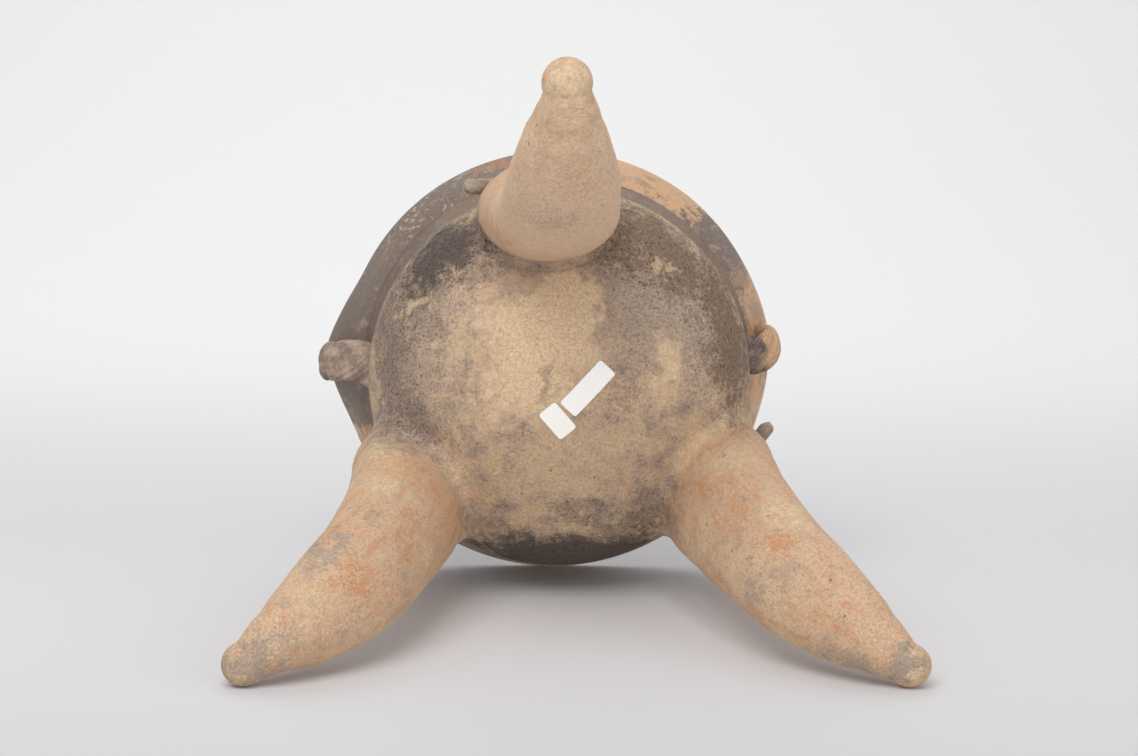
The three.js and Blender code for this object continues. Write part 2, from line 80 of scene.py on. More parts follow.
# The vessel's upright axis, and the middle of the ellipsoid that its bowl is the lower half of
AXIS = Vector(((BOWL_LOW.x + BOWL_HIGH.x) / 2, (BOWL_LOW.y + BOWL_HIGH.y) / 2, 0))
SHOULDER_HEIGHT = 0.1685
BOWL_CENTRE = AXIS + Vector((0, 0, SHOULDER_HEIGHT))

# Leg: stations down its middle line, with the share of the way down, of the way out, and the girth
LEG_STATIONS = (
    (-0.09, -0.29, 0.755),
    (0.0, 0.0, 1.0),
    (0.18, 0.045, 0.97),
    (0.35, 0.095, 0.89),
    (0.53, 0.185, 0.823),
    (0.68, 0.285, 0.766),
    (0.81, 0.45, 0.706),
    (0.93, 0.71, 0.52),
    (0.97, 0.83, 0.4),
)
LEG_ROOT_OUT = 0.069
LEG_ROOT_UP = 0.148
ANKLE_HEIGHT = 0.0077
LEG_FLATNESS = 0.7
ROUND_FROM = 0.62
CAVITY_TAPER_FROM = 0.68
CAVITY_END = 0.84
LEG_SIDES = 80
LEG_RINGS = 60
SLIT_SIZE = (0.06, 0.005, 0.046)
SLIT_HEIGHT = 0.082
NUB_WEAR = 0.0006

# A leg's directions at its root and foot, its nub's radius and how much thinner the leg ends, its
# luting's reach, and how far out from the bowl, in its radii, the colours of the leg begin
Leg = namedtuple("Leg", "name root_deg foot_deg nub_radius nub_draw_in luting_reach buff_from")
LEGS = (
    Leg("front", 266.0, 268.7, 0.0082, 0.0005, 0.0045, 1.01),
    Leg("left", 146.7, 151.9, 0.0074, 0.0001, 0.0085, 1.07),
    Leg("right", 34.3, 32.2, 0.0075, 0.0001, 0.0080, 1.05),
)
# Where a handle sits, how far it is drawn out, and its turns and girths at rim and shoulder
Handle = namedtuple(
    "Handle", "name azimuth_deg reach rim_turn_deg shoulder_turn_deg rim_girth shoulder_girth")
HANDLES = (
    Handle("left", 184.5, 0.0084, -1.1, 1.3, 0.90, 1.34),
    Handle("right", 354.0, 0.0018, -0.3, 0.4, 0.76, 1.30),
)
# A rim's ear: half its spread, and how round its tip and how hollow its sides are
EAR_SPREAD_DEG = 23.0
EAR_ROUNDING = 0.12
EAR_POINT = 1.5

Label = namedtuple("Label", "name length width place turn_deg")
LABELS = (
    Label("long", 0.022, 0.008, (0.0082, -0.0062), -45.0),
    Label("short", 0.0128, 0.008, (-0.0033, 0.0058), 51.0),
)

HALVINGS = 26
LATHE_STEPS = 300
CLAY_VOXEL = 0.0009
FINE_VOXEL = 0.0005
BROAD_DENT = 0.022
SMALL_DENT = 0.007
MM = 0.001


def tone(code):
    """Turns a colour as a painter writes it into the linear values that the nodes hold."""
    parts = [int(code[at:at + 2], 16) / 255 for at in (1, 3, 5)]
    return tuple(p / 12.92 if p <= 0.04045 else ((p + 0.055) / 1.055) ** 2.4 for p in parts)


def length_property(label, description, default):
    return FloatProperty(name=label, description=description, default=default, min=0.0,
                         unit="LENGTH", precision=4)


def colour_property(label, description, code):
    return FloatVectorProperty(name=label, description=description, default=tone(code),
                               subtype="COLOR", size=3, min=0.0, max=1.0)


class VesselSizes(bpy.types.PropertyGroup):
    """Sizes of the vessel's clay pieces."""

    bowl_radius: length_property(
        "Bowl radius", "Radius at the shoulder", (BOWL_HIGH.x - BOWL_LOW.x) / 2)
    bowl_depth: length_property(
        "Bowl depth", "From the shoulder down to the underside", SHOULDER_HEIGHT - BOWL_LOW.z)
    bowl_wall: length_property("Bowl wall", "Thickness of the bowl", 0.006)
    neck_wall: length_property("Neck wall", "Thickness of the neck band", 0.0065)
    neck_flare: length_property("Neck flare", "How far the neck leans out to its top", 0.003)
    rim_overhang: length_property("Rim overhang", "How far the rim stands out past the neck", 0.008)
    leg_half_width: length_property("Leg half width", "Half the width of a leg at its root", 0.0265)
    leg_wall: length_property("Leg wall", "Thickness of the hollow legs", 0.005)
    foot_reach: length_property("Foot reach", "From the vessel's axis to the feet", 0.1285)
    roll_radius: length_property("Roll radius", "Radius of the clay rolls over the legs", 0.0032)
    strap_half_width: length_property("Strap half width", "Half the width of a handle", 0.0062)
    strap_half_depth: length_property("Strap half depth", "Half the thickness of a handle", 0.0042)
    unevenness: length_property("Unevenness", "Depth of the dents that the hands left", 0.0003)


class VesselColours(bpy.types.PropertyGroup):
    """Colours of the fired clay and of the paper."""

    tan: colour_property("Tan", "Bowl where the fire left it plain", "#d2b595")
    buff: colour_property("Buff", "Pale clouds on the bowl", "#ebcda9")
    taupe: colour_property("Taupe", "Greyed zones of the bowl", "#b19c8b")
    mauve: colour_property("Mauve grey", "Dusky zones of the bowl", "#8a796e")
    soot: colour_property("Soot", "Fire clouds", "#5f544e")
    brown: colour_property("Brown", "Scorched zones of the bowl", "#836e5e")
    leg_buff: colour_property("Leg buff", "Plain clay of the legs", "#d3b192")
    leg_pale: colour_property("Leg pale", "Yellowish bloom on the legs", "#dfc6a2")
    # Painted light: paler clay on the front leg, where its face turns down from the overhead lamp
    painted_light_peach: colour_property("Leg peach", "Pale pinkish bloom on the front leg", "#e3c4a6")
    blush: colour_property("Blush", "Orange patches on the legs", "#d0966b")
    ash: colour_property("Ash", "Grey clouds on the legs", "#a89889")
    neck: colour_property("Neck", "Smoothed neck band", "#7d6b5c")
    burnish: colour_property("Burnish", "Dark polished rim", "#756861")
    rim_tan: colour_property("Rim tan", "Oxidised side of the rim", "#c49e7c")
    flake: colour_property("Flake", "Cream where the rim's skin has flaked off", "#c9b394")
    chip: colour_property("Chip", "Raw orange clay in a chip", "#a9724f")
    paper: colour_property("Paper", "Blank paper labels", "#fbfaf7")


# Working out where the clay lies


def mix(a, b, share):
    return a + (b - a) * share


def smoothstep(value, low, high):
    share = min(max((value - low) / (high - low), 0.0), 1.0)
    return share * share * (3 - 2 * share)


def spread(low, high, steps):
    return [mix(low, high, step / steps) for step in range(steps + 1)]


def through(points, share):
    """A point on the smooth line through some points, with its steps paced by their distances."""
    span = share * (len(points) - 1)
    at = min(int(span), len(points) - 2)
    part = span - at
    first, second = points[at], points[at + 1]
    before = points[at - 1] if at > 0 else first * 2 - second
    after = points[at + 2] if at + 2 < len(points) else second * 2 - first
    gap0, gap1, gap2 = (math.sqrt((b - a).length) or 1.0
                        for a, b in ((before, first), (first, second), (second, after)))
    leave = (first - before) / gap0 - (second - before) / (gap0 + gap1) + (second - first) / gap1
    arrive = (second - first) / gap1 - (after - first) / (gap1 + gap2) + (after - second) / gap2
    leave, arrive = leave * gap1, arrive * gap1
    curve = (first - second) * 2 + leave + arrive
    bend = (second - first) * 3 - leave * 2 - arrive
    return ((curve * part + bend) * part + leave) * part + first


def evenly_through(values, share):
    """A value on the smooth line through evenly spaced values."""
    span = share * (len(values) - 1)
    at = min(int(span), len(values) - 2)
    part = span - at
    first, second = values[at], values[at + 1]
    leave = (second - values[max(at - 1, 0)]) / 2
    arrive = (values[min(at + 2, len(values) - 1)] - first) / 2
    curve = (first - second) * 2 + leave + arrive
    bend = (second - first) * 3 - leave * 2 - arrive
    return ((curve * part + bend) * part + leave) * part + first


def turned(point, degrees):
    """Turns a point that is given from the vessel's axis, and sets it in the vessel's place."""
    return AXIS + Matrix.Rotation(math.radians(degrees), 3, "Z") @ point


def leg_middle(sizes, share):
    """The leg's middle line in its own upright plane, from the vessel's axis."""
    return through([
        Vector((mix(LEG_ROOT_OUT, sizes.foot_reach, out), 0, mix(LEG_ROOT_UP, ANKLE_HEIGHT, down)))
        for down, out, girth in LEG_STATIONS], share)


def leg_heading(sizes, share):
    step = 0.0001
    ahead, behind = min(share + step, 1.0), max(share - step, 0.0)
    return (leg_middle(sizes, ahead) - leg_middle(sizes, behind)).normalized()


def leg_section(sizes, share, grow=0.0, shrink=1.0):
    """Half the depth and half the width of a leg."""
    half = evenly_through([girth for down, out, girth in LEG_STATIONS], share) * sizes.leg_half_width
    flat = mix(LEG_FLATNESS, 1.0, smoothstep(share, ROUND_FROM, 1.0))
    return (half * flat + grow) * shrink, (half + grow) * shrink


def nub_centre(sizes, leg):
    return Vector((sizes.foot_reach, 0, leg.nub_radius - NUB_WEAR))


def leg_tail(sizes, leg, share):
    """A ring between the leg's last station and the middle of its nub, where it ends unseen."""
    end, centre = leg_middle(sizes, 1), nub_centre(sizes, leg)
    bend = end + leg_heading(sizes, 1) * (centre - end).length / 2
    middle = end.lerp(bend, share).lerp(bend.lerp(centre, share), share)
    heading = mix(bend - end, centre - bend, share).normalized()
    waist = leg.nub_radius - leg.nub_draw_in
    radius = mix(leg_section(sizes, 1)[1], waist, min(share / 0.8, 1))
    radius *= mix(1, 0.8, smoothstep(share, 0.85, 1))
    return ring_across(middle, heading, radius, radius)


def leg_point(sizes, leg, share, around):
    """A point on a leg's skin; around is 0 on its outer face."""
    middle, heading = leg_middle(sizes, share), leg_heading(sizes, share)
    depth, width = leg_section(sizes, share)
    point = middle + Vector((-heading.z, 0, heading.x)) * depth * math.cos(around)
    point.y += width * math.sin(around)
    return turned(point, mix(leg.root_deg, leg.foot_deg, share))


def bowl_side(sizes, point):
    """Negative inside the bowl's rounded underside, and inside its wall above the shoulder."""
    from_centre = point - BOWL_CENTRE
    radius = math.hypot(from_centre.x, from_centre.y) / sizes.bowl_radius
    if from_centre.z >= 0:
        return radius - 1
    return math.hypot(radius, from_centre.z / sizes.bowl_depth) - 1


def bowl_normal(sizes, point):
    from_centre = point - BOWL_CENTRE
    down = min(from_centre.z, 0) / sizes.bowl_depth ** 2
    across = sizes.bowl_radius ** 2
    return Vector((from_centre.x / across, from_centre.y / across, down)).normalized()


def onto_bowl(sizes, point):
    """Moves a point near the bowl straight in or out from the bowl's middle onto its skin."""
    from_centre = point - BOWL_CENTRE
    scale = bowl_side(sizes, point) + 1
    if from_centre.z < 0:
        return BOWL_CENTRE + from_centre / scale
    return BOWL_CENTRE + Vector((from_centre.x / scale, from_centre.y / scale, from_centre.z))


def leg_seam(sizes, leg, around):
    """The share of the way down at which a line along the leg's skin leaves the bowl."""
    inside, outside = 0.0, 0.7
    for _ in range(HALVINGS):
        middle = (inside + outside) / 2
        if bowl_side(sizes, leg_point(sizes, leg, middle, around)) < 0:
            inside = middle
        else:
            outside = middle
    return outside


def bowl_outline(radius, depth, steps):
    """Points of (radius, height) from the middle of the bowl's underside up to its shoulder."""
    return [(radius * math.sin(angle), SHOULDER_HEIGHT - depth * math.cos(angle))
            for angle in spread(0, math.pi / 2, steps)]


def ear_reach(angle):
    """How far the rim is drawn out at an angle round the vessel: a soft point over each handle."""
    total = 0.0
    for handle in HANDLES:
        turn = angle - math.radians(handle.azimuth_deg)
        off = abs(math.atan2(math.sin(turn), math.cos(turn))) / math.radians(EAR_SPREAD_DEG)
        total += handle.reach * (1 - min(math.hypot(off, EAR_ROUNDING), 1.0)) ** EAR_POINT
    return total


# Shaping meshes as by hand


def new_piece(name):
    """Adds an empty mesh at the origin and opens it for editing."""
    bpy.ops.object.select_all(action="DESELECT")
    bpy.ops.object.add(type="MESH", enter_editmode=True)
    piece = bpy.context.object
    piece.name = piece.data.name = name
    return piece


def close_piece():
    """Joins doubled points, turns the faces outwards and leaves edit mode."""
    bpy.ops.mesh.select_all(action="SELECT")
    bpy.ops.mesh.remove_doubles(threshold=1e-6)
    bpy.ops.mesh.normals_make_consistent(inside=False)
    bpy.ops.object.mode_set(mode="OBJECT")


def select_points(piece, chosen):
    """In edit mode, selects the points that pass a test and nothing else."""
    bpy.ops.mesh.select_all(action="DESELECT")
    mesh = bmesh.from_edit_mesh(piece.data)
    for point in mesh.verts:
        point.select = chosen(point)
    mesh.select_flush_mode()
    bmesh.update_edit_mesh(piece.data)


def pick(piece):
    bpy.ops.object.select_all(action="DESELECT")
    piece.select_set(True)
    bpy.context.view_layer.objects.active = piece


def finish_modifier(piece, kind, **settings):
    """Adds a modifier, sets it and applies it."""
    pick(piece)
    modifier = piece.modifiers.new(kind.title(), kind)
    for key, value in settings.items():
        setattr(modifier, key, value)
    bpy.ops.object.modifier_apply(modifier=modifier.name)


def cut_away(piece, *cutters):
    """Cuts solids out of a piece and deletes them."""
    for cutter in cutters:
        finish_modifier(piece, "BOOLEAN", operation="DIFFERENCE", solver="EXACT", object=cutter)
        bpy.data.objects.remove(cutter)


def soften(piece, voxel, rounds):
    """Gives a piece an even fine mesh and rounds its edges, as wet clay does."""
    finish_modifier(piece, "REMESH", mode="VOXEL", voxel_size=voxel)
    finish_modifier(piece, "SMOOTH", factor=0.5, iterations=rounds)


def dent(piece, size, depth):
    """Presses soft dents of that size and depth into a piece."""
    texture = bpy.data.textures.new(f"{piece.name}_dents", "CLOUDS")
    texture.noise_scale = size
    texture.noise_depth = 2
    finish_modifier(piece, "DISPLACE", texture=texture, strength=depth, mid_level=0.5)


def hand_dents(piece, sizes):
    """The same dents on every large piece, so that neighbours still meet at their seams."""
    dent(piece, BROAD_DENT, sizes.unevenness)
    dent(piece, SMALL_DENT, sizes.unevenness / 3)


def turn_about(centre, degrees, axis="Y"):
    """Turns what is selected; without a window the operator turns the other way."""
    bpy.ops.transform.rotate(
        value=-math.radians(degrees), orient_axis=axis, orient_type="GLOBAL", center_override=centre)


def draw_line(points):
    """Draws a line through some points by extruding from the first, and selects it."""
    bpy.ops.mesh.primitive_plane_add(size=MM, location=points[0])
    bpy.ops.mesh.merge(type="CENTER")
    for before, point in zip(points, points[1:]):
        bpy.ops.mesh.extrude_region_move(TRANSFORM_OT_translate={"value": point - before})
    bpy.ops.mesh.select_all(action="SELECT")


def lathe(piece, outline):
    """Draws an outline of (radius, height) points and spins it round the vessel's axis."""
    draw_line([AXIS + Vector((radius, 0, height)) for radius, height in outline])
    bpy.ops.mesh.spin(steps=LATHE_STEPS, angle=math.tau, center=AXIS, axis=(0, 0, 1))
    close_piece()
    return piece


Ring = namedtuple("Ring", "middle tilt_deg depth width twist_deg", defaults=(0.0,))


def ring_across(middle, heading, depth, width, twist_deg=0.0):
    """A ring square to a heading in the plane of the X axis, with its depth and width."""
    tilt = math.degrees(math.atan2(-heading.x, -heading.z))
    return Ring(AXIS + middle, tilt, depth, width, twist_deg)


def build_up(rings, sides, lobed=None, pointed=(False, True)):
    """Builds a closed rod ring by ring: extruded along, then turned and resized into its place."""
    first = rings[0]
    bpy.ops.mesh.primitive_circle_add(vertices=sides, radius=1.0, location=first.middle)
    if lobed:
        lobed(first.middle)
    bpy.ops.transform.resize(value=(first.depth, first.width, 1), center_override=first.middle)
    turn_about(first.middle, first.tilt_deg)
    for before, ring in zip(rings, rings[1:]):
        bpy.ops.mesh.extrude_region_move(
            TRANSFORM_OT_translate={"value": ring.middle - before.middle})
        turn_about(ring.middle, -before.tilt_deg)
        if ring.twist_deg != before.twist_deg:
            bpy.ops.transform.resize(
                value=(1 / before.depth, 1 / before.width, 1), center_override=ring.middle)
            turn_about(ring.middle, ring.twist_deg - before.twist_deg, "Z")
            bpy.ops.transform.resize(
                value=(ring.depth, ring.width, 1), center_override=ring.middle)
        else:
            bpy.ops.transform.resize(
                value=(ring.depth / before.depth, ring.width / before.width, 1),
                center_override=ring.middle)
        turn_about(ring.middle, ring.tilt_deg)
    piece = bpy.context.object
    if pointed[1]:
        bpy.ops.mesh.merge(type="CENTER")
    else:
        bpy.ops.mesh.edge_face_add()
    select_points(piece, lambda point: point.index < sides)
    if pointed[0]:
        bpy.ops.mesh.merge(type="CENTER")
    else:
        bpy.ops.mesh.edge_face_add()


def place_points(piece, move):
    """In object mode, moves every point of a piece to where a function says."""
    for point in piece.data.vertices:
        point.co = move(point.co)
    piece.data.update()


def own_copy(piece):
    """A copy with its own mesh."""
    copy = piece.copy()
    copy.data = piece.data.copy()
    bpy.context.collection.objects.link(copy)
    return copy


def dress(piece, material, node, body="vessel"):
    """Keeps a finished piece in the CAD model's box, gives it its material, hides its CAD node and
    hangs it from its body.
    """
    low, high = CAD_BOX
    place_points(piece, lambda point: Vector(
        min(max(value, least), most) for value, least, most in zip(point, low, high)))
    pick(piece)
    bpy.ops.object.shade_smooth()
    piece.data.materials.clear()
    piece.data.materials.append(material)
    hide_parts(node)
    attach(piece, body)


# Fired clay


class Finish:
    """A material being made: each method adds nodes and gives back the socket that they end in."""

    def __init__(self, name, roughness=0.85, specular=0.3):
        self.material = bpy.data.materials.new(name)
        self.material.use_nodes = True
        self.tree = self.material.node_tree
        self.tree.nodes.clear()
        self.shader = self.tree.nodes.new("ShaderNodeBsdfPrincipled")
        self.shader.inputs["Roughness"].default_value = roughness
        self.shader.inputs["Specular IOR Level"].default_value = specular
        output = self.tree.nodes.new("ShaderNodeOutputMaterial")
        self.tree.links.new(self.shader.outputs[0], output.inputs["Surface"])
        self.place = self.tree.nodes.new("ShaderNodeTexCoord").outputs["Object"]

    def add(self, kind, inputs, **settings):
        """Adds a node with its settings; each input is a number, a colour or another socket."""
        node = self.tree.nodes.new(kind)
        for key, value in settings.items():
            setattr(node, key, value)
        for key, value in inputs.items():
            if isinstance(value, bpy.types.NodeSocket):
                self.tree.links.new(value, node.inputs[key])
            else:
                socket = node.inputs[key]
                wide = hasattr(socket.default_value, "__len__") and len(socket.default_value) == 4
                socket.default_value = (*value, 1.0) if wide and len(value) == 3 else value
        return node

    def noise(self, size, detail=3.0, roughness=0.55, at=None, colour=False):
        """Soft noise from 0 to 1, with lumps of that size in metres."""
        node = self.add("ShaderNodeTexNoise", {
            "Vector": at or self.place, "Scale": 1 / size, "Detail": detail, "Roughness": roughness})
        return node.outputs[1 if colour else 0]

    def maths(self, operation, a, b=0.0, c=0.0):
        return self.add("ShaderNodeMath", {0: a, 1: b, 2: c}, operation=operation).outputs[0]

    def vectors(self, operation, a, b=(0, 0, 0), c=(0, 0, 0)):
        """A sum with vectors, which ends in a vector or, for a dot product or length, a number."""
        node = self.add("ShaderNodeVectorMath", {0: a, 1: b, 2: c}, operation=operation)
        return node.outputs[1 if operation in ("DOT_PRODUCT", "LENGTH") else 0]

    def ramp(self, value, low, high, to_low=0.0, to_high=1.0):
        """Eases a value's span from low to high into the span wanted, and stops at its ends."""
        node = self.add("ShaderNodeMapRange", {
            "Value": value, "From Min": low, "From Max": high, "To Min": to_low, "To Max": to_high},
            interpolation_type="SMOOTHSTEP")
        return node.outputs[0]

    def blend(self, under, over, share, mode="MIX"):
        node = self.add("ShaderNodeMix", {0: share, 6: under, 7: over},
                        data_type="RGBA", blend_type=mode)
        return node.outputs[2]

    def coated(self, colour, *coats):
        """Lays coats of (colour, pattern, low, high, strength, mode) where the pattern passes low."""
        for over, pattern, low, high, strength, *mode in coats:
            colour = self.blend(colour, over, self.ramp(pattern, low, high, 0.0, strength), *mode)
        return colour

    def torn(self, size):
        """Noise from 0 to 1 with steep sides, for the edges of clouds and flakes."""
        return self.ramp(self.noise(size, detail=6.0, roughness=0.72), 0.28, 0.72)

    def scaled(self, scale):
        """The place on the piece, stretched for a pattern that runs one way."""
        node = self.add("ShaderNodeMapping", {"Vector": self.place, "Scale": scale})
        return node.outputs[0]

    def warped(self, *waves):
        """The place on the piece, shifted to and fro in waves of (size, reach)."""
        place = self.place
        for size, reach in waves:
            shift = self.vectors("SUBTRACT", self.noise(size, colour=True), (0.5,) * 3)
            place = self.vectors("MULTIPLY_ADD", shift, (reach,) * 3, place)
        return place

    def wiped(self, size, stretch, heading, detail=3.0):
        """Noise drawn out along a heading, as wiping fingers leave it."""
        node = self.add("ShaderNodeMapping", {
            "Vector": self.place, "Rotation": heading.to_track_quat("Z", "Y").to_euler(),
            "Scale": (1, 1, stretch)}, vector_type="TEXTURE")
        return self.noise(size, detail=detail, at=node.outputs[0])

    def clouded(self, colour, colours, clouds, wander, ragged):
        """Lays clouds over a colour, one after another: fire clouds, and some painted shade and light.
        """
        for cloud in clouds:
            at = wander if cloud.ragged else self.place
            out = self.from_middle(at, cloud.centre, cloud.radii, cloud.turn_deg)
            out = self.maths("MULTIPLY_ADD", ragged, cloud.ragged, out)
            edge = 1 + cloud.ragged / 2
            share = self.ramp(out, edge, edge - cloud.soft, 0.0, cloud.strength)
            colour = self.blend(colour, getattr(colours, cloud.tone), share)
        return colour

    def from_middle(self, at, centre, radii, turn_deg=(0, 0, 0)):
        """0 at the middle of an ellipsoid, 1 on its skin, and more beyond it."""
        node = self.add("ShaderNodeMapping", {
            "Vector": at, "Location": centre, "Scale": radii,
            "Rotation": [math.radians(angle) for angle in turn_deg]}, vector_type="TEXTURE")
        return self.vectors("LENGTH", node.outputs[0])

    def specks(self, size, radius, share, at=None):
        """Round specks in a share of the cells of that size; radius is a share of the cell."""
        node = self.add("ShaderNodeTexVoronoi", {"Vector": at or self.place, "Scale": 1 / size})
        chosen = self.ramp(node.outputs["Color"], 1 - share, 1 - share + 0.02)
        round_speck = self.ramp(node.outputs["Distance"], radius, radius * 0.4)
        return self.maths("MULTIPLY", round_speck, chosen)

    def finished(self, colour, relief=0.0, layers=(), roughness=None):
        """Sets the colour, the relief in metres of layers of (height, share), and the roughness."""
        links, inputs = self.tree.links, self.shader.inputs
        links.new(colour, inputs["Base Color"])
        if roughness is not None:
            links.new(roughness, inputs["Roughness"])
        if layers:
            height = 0.0
            for layer, share in layers:
                height = self.maths("MULTIPLY_ADD", layer, share, height)
            raised = self.add("ShaderNodeBump", {"Height": height, "Distance": relief, "Strength": 1.0})
            links.new(raised.outputs[0], inputs["Normal"])
        return self.material


Cloud = namedtuple("Cloud", "tone centre radii strength soft ragged turn_deg",
                   defaults=((0, 0, 0),))

# Fire clouds and scorches, with some painted shade and light among them: the colour, the middle
# and reach in metres, how strong it is, how soft its edge is and how ragged, and its turn.  A later
# one lies over those before it.
BOWL_CLOUDS = (
    Cloud("tan", (0.006, 0.046, 0.119), (0.046, 0.02, 0.03), 0.8, 0.9, 0.8),
    Cloud("taupe", (0.042, -0.01, 0.13), (0.05, 0.036, 0.05), 0.95, 0.6, 0.6),
    Cloud("taupe", (-0.058, 0.022, 0.14), (0.028, 0.048, 0.05), 0.9, 0.8, 0.5),
    Cloud("taupe", (0.0, -0.036, 0.136), (0.06, 0.013, 0.04), 0.9, 0.8, 0.5),
    Cloud("mauve", (-0.063, 0.006, 0.146), (0.013, 0.048, 0.06), 0.9, 0.8, 0.5),
    Cloud("mauve", (-0.05, -0.004, 0.14), (0.014, 0.016, 0.04), 0.7, 0.9, 0.6),
    Cloud("mauve", (-0.042, -0.032, 0.152), (0.034, 0.024, 0.03), 0.95, 0.8, 0.5, (0, 0, -40)),
    Cloud("soot", (-0.05, -0.021, 0.15), (0.022, 0.023, 0.03), 0.95, 0.8, 0.5),
    Cloud("soot", (-0.036, -0.034, 0.146), (0.024, 0.016, 0.03), 0.95, 0.9, 0.5),
    Cloud("mauve", (-0.054, 0.033, 0.135), (0.018, 0.01, 0.03), 0.8, 0.9, 0.5, (0, 0, 20)),
    Cloud("brown", (0.042, -0.029, 0.144), (0.046, 0.022, 0.04), 0.95, 0.7, 0.6, (0, 0, 32)),
    Cloud("brown", (0.066, 0.01, 0.148), (0.016, 0.046, 0.05), 0.95, 0.8, 0.6, (0, 0, -6)),
    Cloud("brown", (0.058, -0.014, 0.146), (0.006, 0.008, 0.03), 0.9, 0.8, 0.8),
    # Partly soot and partly painted shade: a dark band under the shoulder on the side that lies next to
    # the floor
    Cloud("soot", (0.004, 0.094, 0.146), (0.058, 0.022, 0.04), 1.0, 0.45, 0.3),
    Cloud("mauve", (0.03, 0.073, 0.13), (0.034, 0.012, 0.03), 0.75, 0.9, 0.6, (0, 0, -20)),
    Cloud("mauve", (0.009, 0.066, 0.125), (0.011, 0.007, 0.03), 0.6, 0.8, 0.8),
    Cloud("mauve", (-0.03, 0.074, 0.132), (0.02, 0.008, 0.03), 0.5, 0.9, 0.8, (0, 0, 20)),
    Cloud("taupe", (-0.037, -0.012, 0.133), (0.012, 0.012, 0.03), 0.8, 0.9, 0.6),
    Cloud("mauve", (-0.028, -0.023, 0.136), (0.012, 0.008, 0.03), 0.5, 0.9, 0.8),
    Cloud("taupe", (0.055, 0.018, 0.134), (0.01, 0.014, 0.03), 0.6, 0.9, 0.6),
    Cloud("buff", (-0.006, 0.001, 0.121), (0.028, 0.029, 0.05), 1.0, 0.6, 0.4),
    Cloud("buff", (0.002, -0.012, 0.124), (0.018, 0.013, 0.05), 1.0, 0.4, 0.4),
    Cloud("buff", (-0.009, 0.019, 0.119), (0.028, 0.018, 0.05), 0.85, 0.7, 0.6),
    Cloud("buff", (0.0385, 0.0165, 0.125), (0.0095, 0.016, 0.04), 0.75, 0.7, 0.7),
    Cloud("buff", (-0.053, -0.009, 0.143), (0.0095, 0.0038, 0.02), 0.5, 0.4, 1.0, (0, 0, -50)),
    Cloud("tan", (0.0415, -0.021, 0.137), (0.005, 0.003, 0.02), 0.7, 0.6, 1.5),
    Cloud("mauve", (-0.003, 0.016, 0.117), (0.011, 0.0036, 0.03), 0.5, 0.9, 0.4, (0, 0, -59)),
    Cloud("mauve", (0.024, 0.023, 0.119), (0.015, 0.009, 0.03), 0.35, 0.9, 1.0),
    Cloud("brown", (-0.019, 0.036, 0.119), (0.012, 0.0003, 0.03), 0.6, 0.6, 0.8, (0, 0, 22)),
)
# Painted shade: the shadow below the front leg's root, laid in the soot colour on the bowl alone
FRONT_ROOT_PAINTED_SHADE = Cloud("soot", (-0.001, -0.0455, 0.13), (0.033, 0.0245, 0.03), 0.75, 0.28, 0)
LEFT_LEG_CLOUDS = (
    Cloud("blush", (-0.058, 0.044, 0.105), (0.02, 0.014, 0.03), 0.3, 0.9, 0.8),
    Cloud("blush", (-0.056, 0.059, 0.066), (0.008, 0.006, 0.026), 0.55, 0.9, 1.4, (0, -24, 0)),
    Cloud("blush", (-0.072, 0.063, 0.027), (0.022, 0.01, 0.008), 0.55, 0.9, 1.4, (0, -36, 0)),
    Cloud("blush", (-0.071, 0.069, 0.024), (0.006, 0.005, 0.005), 0.6, 0.9, 1.2),
    Cloud("ash", (-0.069, 0.05, 0.055), (0.008, 0.008, 0.012), 0.5, 0.8, 1.3, (0, -30, 0)),
    Cloud("ash", (-0.088, 0.053, 0.036), (0.02, 0.008, 0.012), 0.7, 0.8, 0.9, (0, 30, 0)),
    Cloud("leg_pale", (-0.085, 0.066, 0.014), (0.014, 0.01, 0.01), 0.35, 0.9, 0.8),
    Cloud("ash", (-0.11, 0.086, 0.002), (0.016, 0.012, 0.012), 0.8, 0.8, 0.9),
    Cloud("ash", (-0.096, 0.08, 0.003), (0.02, 0.008, 0.008), 0.5, 0.9, 1.0),
)
RIGHT_LEG_CLOUDS = (
    Cloud("blush", (0.0537, 0.0534, 0.099), (0.006, 0.006, 0.012), 0.6, 0.8, 1.4),
    Cloud("leg_pale", (0.06, 0.048, 0.112), (0.016, 0.014, 0.024), 0.7, 0.9, 0.8),
    Cloud("blush", (0.06, 0.057, 0.07), (0.009, 0.01, 0.018), 0.5, 0.9, 1.4),
    Cloud("blush", (0.072, 0.06, 0.041), (0.008, 0.01, 0.012), 0.6, 0.8, 1.4),
    Cloud("leg_pale", (0.078, 0.052, 0.058), (0.008, 0.008, 0.03), 0.7, 0.8, 0.8, (0, -12, 0)),
    Cloud("ash", (0.064, 0.078, 0.038), (0.011, 0.01, 0.016), 0.6, 0.9, 1.3),
    Cloud("ash", (0.0724, 0.0708, 0.027), (0.007, 0.005, 0.008), 0.5, 0.9, 1.2),
    Cloud("ash", (0.0738, 0.0421, 0.151), (0.006, 0.005, 0.006), 0.9, 0.7, 0.8),
    Cloud("ash", (0.1083, 0.0899, 0.001), (0.009, 0.009, 0.01), 0.9, 0.5, 0.8),
    Cloud("ash", (0.088, 0.093, 0.01), (0.026, 0.009, 0.014), 0.7, 0.9, 1.0),
    Cloud("chip", (0.0603, 0.0638, 0.0561), (0.0012, 0.0012, 0.0024), 0.8, 0.5, 1.0),
    Cloud("chip", (0.0641, 0.0667, 0.0442), (0.0014, 0.0014, 0.0016), 0.7, 0.5, 1.0),
    Cloud("brown", (0.0634, 0.0437, 0.117), (0.0003, 0.01, 0.011), 0.5, 0.5, 0.6, (0, 20, 0)),
)
